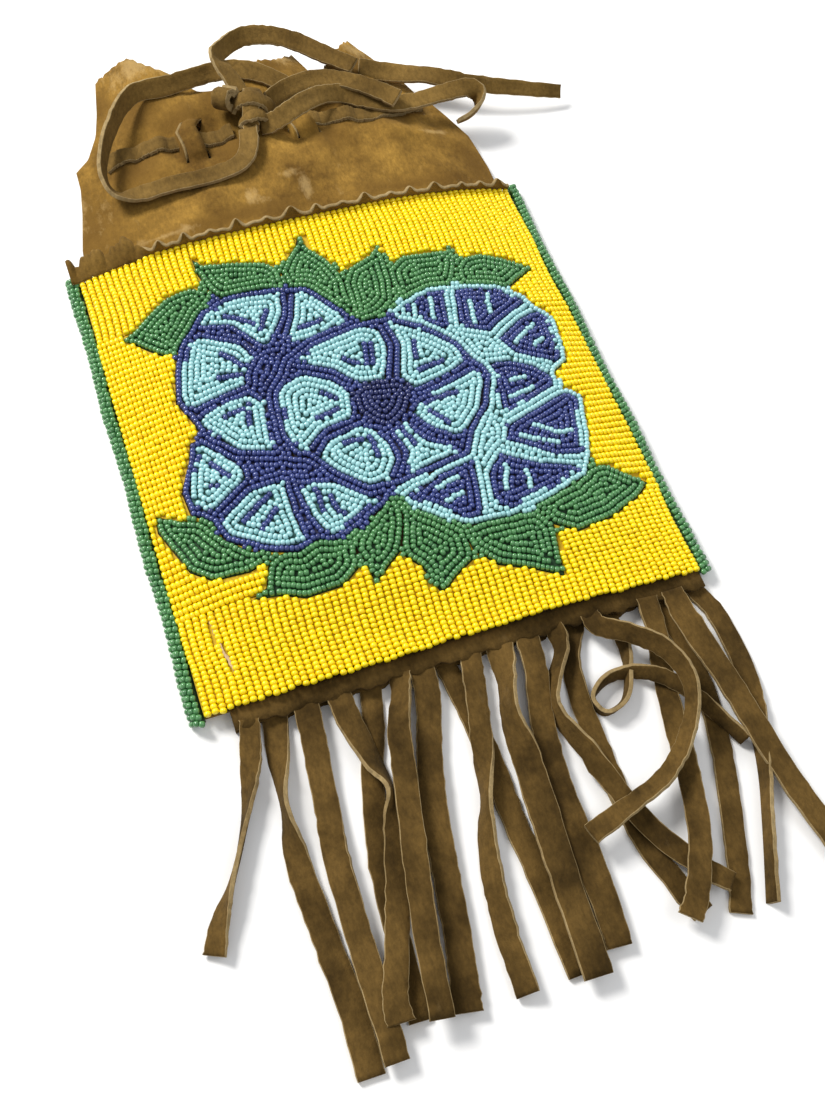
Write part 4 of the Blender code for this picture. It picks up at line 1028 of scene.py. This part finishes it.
THREADED_LEFT = [(-56.5, 121.6), (-51, 123.2), (-44, 123.6), (-36, 123.2), (-27, 122.4), (-18, 121.8),
    (-11.4, 121.8)]
THREADED_RIGHT = [(8, 121.4), (14, 121), (20, 120.4), (28, 119.4), (34, 118.8), (41, 119.4), (50, 121.4),
    (58, 122.4)]


def free_thong(name, route, node, lead=(), tucked=(), width=THONG_WIDTH):
    """A free stretch of thong. Lead and tucked are hidden points before its start and past its end."""
    rows = [(x, y, cuff_surface(x, y) + lift, tilt) for x, y, lift, tilt in [*lead, *route, *tucked]]
    obj, path = lace(name, rows, width, THONG_THICKNESS, *THONG_LOOKS, (node,), steps=5,
                     cup=0.35)


def threaded_thong(name, route, node):
    lift = THONG_THICKNESS / 2 + 0.5
    rows = [(x, y, cuff_surface(x, y) + gathers(x, y) + lift, 0) for x, y in eased(route, 4)]
    lace(name, rows, THONG_WIDTH - 0.6, THONG_THICKNESS, *THONG_LOOKS, (node,))


def knot():
    """The knot: thong wrapped over itself, and one end rolled up into a curl beside it."""
    floor = cuff_surface(-3.4, 126) + 1.0
    cx, cy = -2.6, 127.0
    wraps = {
        "knot_core": [(-3.2, -9.4, 0.8, 10), (-1.6, -5.4, 2.2, 10), (-0.4, 0, 3.0, 0),
                      (-1.8, 5.6, 2.6, 0), (-3.4, 10, 2.0, 0)],
        "knot_wrap_over": [(-2.4, -7.6, 1.6, -10), (-1.4, -3.6, 5.2, -6), (0.8, 1.6, 6.2, 0),
                           (1.6, 5.6, 4.8, 10), (1.4, 8.6, 1.4, 14)],
        "knot_wrap_across": [(6.6, -4.6, 1.2, 10), (4.8, -2.4, 5.2, 8), (0.6, -0.6, 7.4, 0),
                             (-3.8, 1.2, 5.6, -8), (-6.2, 2.4, 1.6, -10)],
        "knot_wrap_low": [(-5.2, -4.4, 1.0, -10), (-2.8, -5.2, 4.4, -5), (1.2, -5.4, 4.8, 5),
                          (4.4, -4.8, 1.6, 12)],
    }
    for i, (name, rows) in enumerate(wraps.items()):
        rows = [(cx + x, cy + y, floor + z, tilt) for x, y, z, tilt in rows]
        lace(name, rows, (5.2, 6.2, 5.6), THONG_THICKNESS, *THONG_LOOKS,
             ("knot",) if i == 0 else (), cup=-0.55, ragged=0.2)
    rolled("knot_curl", (cx - 8.2, cy + 4.6, floor + 4.2), (0.62, -0.72, 0.32), (3.9, 1.5), 2.1, 2.6, 6.6,
           *THONG_LOOKS)


FRINGE_FRONT = [
    (2.9, [(-63.8, -82, 3.2, 0), (-65.5, -90, 2.4, 10), (-69, -101, 2, 55), (-74, -112, 2.2, 80),
     (-79.5, -122, 2.2, 78), (-84.5, -130, 2, 45), (-88.5, -138, 1.8, 15)]),
    (3.5, [(-47.8, -82, 3.6, 0), (-49, -95, 3, 5), (-51, -112, 2.4, 0), (-52.5, -124, 2.4, 25),
     (-53.2, -140, 3.6, 5), (-53.4, -158, 3.6, 0), (-53.6, -176, 3.6, 0)]),
    (3.5, [(-38.6, -82, 3.8, 0), (-37.8, -92, 3.6, -10), (-35.5, -104, 3.4, -40), (-33.4, -113, 4.2, -70),
     (-35.6, -123, 4.2, -10), (-40.5, -138, 4.2, 0), (-45.6, -152, 4.2, 0), (-49.4, -162, 4.2, 0),
     (-50, -168, 4.2, 5)]),
    (3.2, [(-20.6, -82, 3.9, 10), (-22, -88, 3.9, 40), (-26.2, -98, 5.6, 20), (-29.5, -112, 6.2, 0),
     (-33, -128, 7, 0), (-36.6, -146, 6.6, 15), (-40.5, -170.5, 6.4, 0)]),
    (3.6, [(-14, -82, 3.9, 0), (-15.6, -92, 3.2, 0), (-19.5, -104, 2.6, 0), (-23.5, -118, 2.6, 8),
     (-26.5, -134, 2.6, 0), (-29, -150, 2.6, 0), (-31.8, -163, 2.6, 0), (-33.4, -171, 2.6, 0)]),
    (3.2, [(0.5, -82, 3.9, 0), (-1.6, -92, 3.2, 0), (-5, -106, 2.8, 15), (-9.6, -121, 3, 75),
     (-13.2, -131, 2.8, 55), (-16.2, -144, 2.6, 40), (-17.6, -158, 2.6, 30), (-17.8, -172, 2.6, 20)]),
    (3.9, [(9.2, -82, 3.9, 0), (7.6, -92, 4.2, 55), (4.4, -103, 4.6, 60), (4, -116, 4.6, 20),
     (2.8, -134, 4.4, 0), (1.6, -150, 4.4, -5), (0.4, -174, 4.4, 0)]),
    (3.6, [(17.6, -82, 3.9, 0), (16.6, -92, 3.4, 0), (13, -106, 2.6, 0), (10.2, -122, 2.6, 5),
     (9.8, -140, 2.6, 0), (9.6, -156, 2.6, 0), (8.6, -169, 2.6, 0)]),
    (2.9, [(26, -82, 3.9, 0), (26.2, -89, 4, 55), (20, -98, 3.6, 60), (17.4, -106, 3.6, 70),
     (21, -118, 3.6, 45), (24.6, -132, 3.4, 5), (30, -146, 3.4, 25), (38, -158, 3.4, 0),
     (43.6, -164, 3.4, -10)]),
    (2.9, [(37.6, -82, 3.8, 0), (38.6, -87, 5.6, 25), (46, -92.5, 8, 45), (52.6, -100, 9, 50),
     (55.2, -109, 9.4, 60), (52.6, -118, 8.8, 65), (45.6, -127, 8, 50), (37, -133.4, 7.2, 40),
     (25, -137.4, 6.6, 30), (12, -141, 6.2, 10)]),
    (3.2, [(56, -82, 3.8, 0), (54.8, -92, 3, 0), (51.4, -104, 2.4, 20), (48.6, -118, 2.4, 30),
     (45, -134, 3.6, 25), (40, -150, 5.4, 8), (33, -163, 5.4, 5), (28.4, -168.4, 5, 5)]),
    (3.4, [(64.2, -82, 3.4, 0), (64.4, -92, 4.4, 20), (66.4, -107, 4.8, 0), (68.6, -124, 4.6, 0),
     (71, -142, 3.8, 0), (75, -160, 2.6, 0), (78.6, -173, 1.8, 0)]),
]
FRINGE_BACK = [
    (3.6, [(-56.4, -82, 0.8, 0), (-59, -94, 1.2, 30), (-61.4, -108, 2.4, 78), (-62.2, -124, 1.2, 10),
     (-61.2, -142, 0.8, 0), (-60, -160, 0.8, 0), (-60.4, -177, 0.8, 0)]),
    (3.0, [(-29, -82, 0.8, 0), (-32, -94, 0.8, 0), (-37, -108, 0.8, 5), (-40.5, -122, 0.8, 0),
     (-43, -136, 0.8, 0), (-43.8, -150, 0.8, 0), (-45, -169, 0.8, 0)]),
    (3.0, [(-7, -82, 0.8, 0), (-5.4, -96, 0.8, 0), (-4.6, -112, 0.8, 0), (-4.6, -128, 0.8, 0),
     (-3.6, -148, 0.8, 0), (-3.4, -172, 0.8, 0)]),
    (3.0, [(34, -82, 0.8, 0), (28, -92, 1.6, 40), (25.6, -106, 1.4, 20), (25.4, -120, 0.8, 0),
     (25.6, -136, 0.8, 0), (28, -152, 0.8, 4), (33.6, -168.4, 0.8, 4)]),
    (2.2, [(43.4, -82, 0.8, 0), (44.8, -88, 1.6, 20), (43, -98, 2.4, 75), (38, -108, 2.4, 82),
     (31, -110.4, 2.4, 82), (29, -105.4, 2.4, 82), (35, -101.4, 2.4, 70), (42.6, -101.8, 3.2, 55),
     (50, -106.2, 4.6, 30), (56, -113.4, 4.6, 20), (61, -122, 3.4, 55), (65, -130, 2.6, 60)]),
    (3.0, [(59.6, -82, 0.8, 0), (61.4, -96, 0.8, 0), (61.6, -112, 0.8, 0), (58.6, -128, 0.8, 0),
     (53.6, -144, 0.8, 0), (48, -160, 0.8, 0), (43, -171.6, 0.8, 0)]),
    (3.0, [(71.6, -82, 0.8, 0), (75, -92, 0.8, 0), (75.4, -108, 0.8, 0), (72.6, -122, 1.2, 30),
     (67, -138, 1.8, 70), (60, -154, 1.8, 78), (52, -172, 1.6, 70)]),
]


def fringe(name, strips, node, height):
    """A band below the beads, and the strips cut from it, each with its own lie and twist."""
    build = bmesh.new()
    steps = 120
    rows = []
    for i in range(steps + 1):
        x = -68.0 + 143.0 * i / steps
        z = height(x)
        low = PANEL_BOTTOM - 6.2 + 0.5 * math.sin(x * 0.5) + 0.35 * math.sin(x * 1.3)
        rows.append([build.verts.new((x * MM, y * MM, (z + dz) * MM)) for y, dz in
                     ((PANEL_BOTTOM - 0.1, 0.2), (PANEL_BOTTOM - 2.5, 0.1), (low, 0.0))])
    for a, b in zip(rows, rows[1:]):
        for k in range(2):
            build.faces.new((a[k + 1], b[k + 1], b[k], a[k])).smooth = True
    mesh = finished(build, name + "_band")
    thicken(piece(name + "_band", mesh, *FRINGE_LOOKS, (node,)), LEATHER, 0)
    for i, (half, route) in enumerate(strips):
        widths = 2 * half * (1 + RNG.normal(0, 0.05, 5))
        lace(f"{name}_strip_{i + 1:02d}", route, widths, STRIP_LEATHER, *FRINGE_LOOKS,
             steps=7, cup=0.25 * RNG.normal(0, 1))


# Floor, light and camera

def floor():
    mesh = bpy.data.meshes.new("floor")
    size = 3.0
    corners = [(-size, -size, 0), (size, -size, 0), (size, size, 0), (-size, size, 0)]
    mesh.from_pydata(corners, [], [(0, 1, 2, 3)])
    look = Shading("floor")
    look.put(look.shader, Base_Color=(0.93, 0.93, 0.925, 1), Roughness=0.9, Specular_IOR_Level=0.1)
    mesh.materials.append(look.material)
    obj = bpy.data.objects.new("floor", mesh)
    bpy.context.scene.collection.objects.link(obj)


def area_light(name, place, target, size, power, colour):
    data = bpy.data.lights.new(name, "AREA")
    data.size = size
    data.energy = power
    data.color = colour
    obj = bpy.data.objects.new(name, data)
    obj.location = place
    obj.rotation_euler = (Vector(target) - Vector(place)).to_track_quat("-Z", "Y").to_euler()
    bpy.context.scene.collection.objects.link(obj)


def lights():
    world = bpy.data.worlds.new("studio")
    bpy.context.scene.world = world
    world.use_nodes = True
    background = world.node_tree.nodes["Background"]
    background.inputs["Color"].default_value = (0.97, 0.98, 1.0, 1)
    background.inputs["Strength"].default_value = 0.50
    area_light("key", (-0.55, 0.75, 0.85), (0, 0, 0), 0.40, 19.0, (1.0, 0.98, 0.95))
    area_light("fill", (0.7, -0.3, 0.9), (0, 0, 0), 0.8, 3.0, (0.98, 0.99, 1.0))


def camera():
    """The view of the photograph: from the fringe end, a little to the left, looking down."""
    right = Vector((0.940066, -0.332925, 0.073749))
    up = Vector((0.265148, 0.849667, 0.455808))
    back = Vector((-0.214410, -0.408934, 0.887018))
    data = bpy.data.cameras.new("camera")
    data.lens = 38.27
    data.sensor_width = 36.0
    data.sensor_fit = "AUTO"
    obj = bpy.data.objects.new("camera", data)
    turn = Matrix((right, up, back)).transposed().to_4x4()
    obj.matrix_world = Matrix.Translation((-0.07784, -0.18730, 0.30842)) @ turn
    bpy.context.scene.collection.objects.link(obj)
    bpy.context.scene.camera = obj


def main():
    camera()
    lights()
    floor()
    bpy.context.scene.view_settings.view_transform = "Standard"
    for name in ("back_panel", "front_panel"):
        NODES[name].data.materials.clear()
        NODES[name].data.materials.append(BACKING if name == "front_panel" else SUEDE)
    free_thong("thong_left", LOOP_LEFT, "thong_loop_left", tucked=[(12.5, 135.8, 1.4, 12)])
    free_thong("thong_right", LOOP_RIGHT, "thong_loop_right", lead=[(-1.5, 119.6, 1.6, 40)])
    free_thong("thong_top", STRAND_TOP, "thong_strand_top")
    free_thong("thong_short", STRAND_SHORT, "thong_strand_short")
    free_thong("thong_tail", TAIL_LONG, "thong_tail_long", lead=[(41.5, 142.4, 1.2, 25)],
               width=[7.0, 7.2, 6.8, 6.0, 5.4, 4.6])
    threaded_thong("thong_laced_left", THREADED_LEFT, "thong_threaded_left")
    threaded_thong("thong_laced_right", THREADED_RIGHT, "thong_threaded_right")
    knot()
    cuff()
    ruffle()
    fringe("fringe_upper", FRINGE_FRONT, "fringe_front",
           lambda x: 2.5 + 1.6 * (1 - min(abs(x) / PANEL_HALF, 1) ** 3))
    fringe("fringe_lower", FRINGE_BACK, "fringe_back", lambda x: 0.8)
    edge_beads("edge_beads_left_glass", -1)
    edge_beads("edge_beads_right_glass", 1)
    beadwork()
    worn_thread()


main()
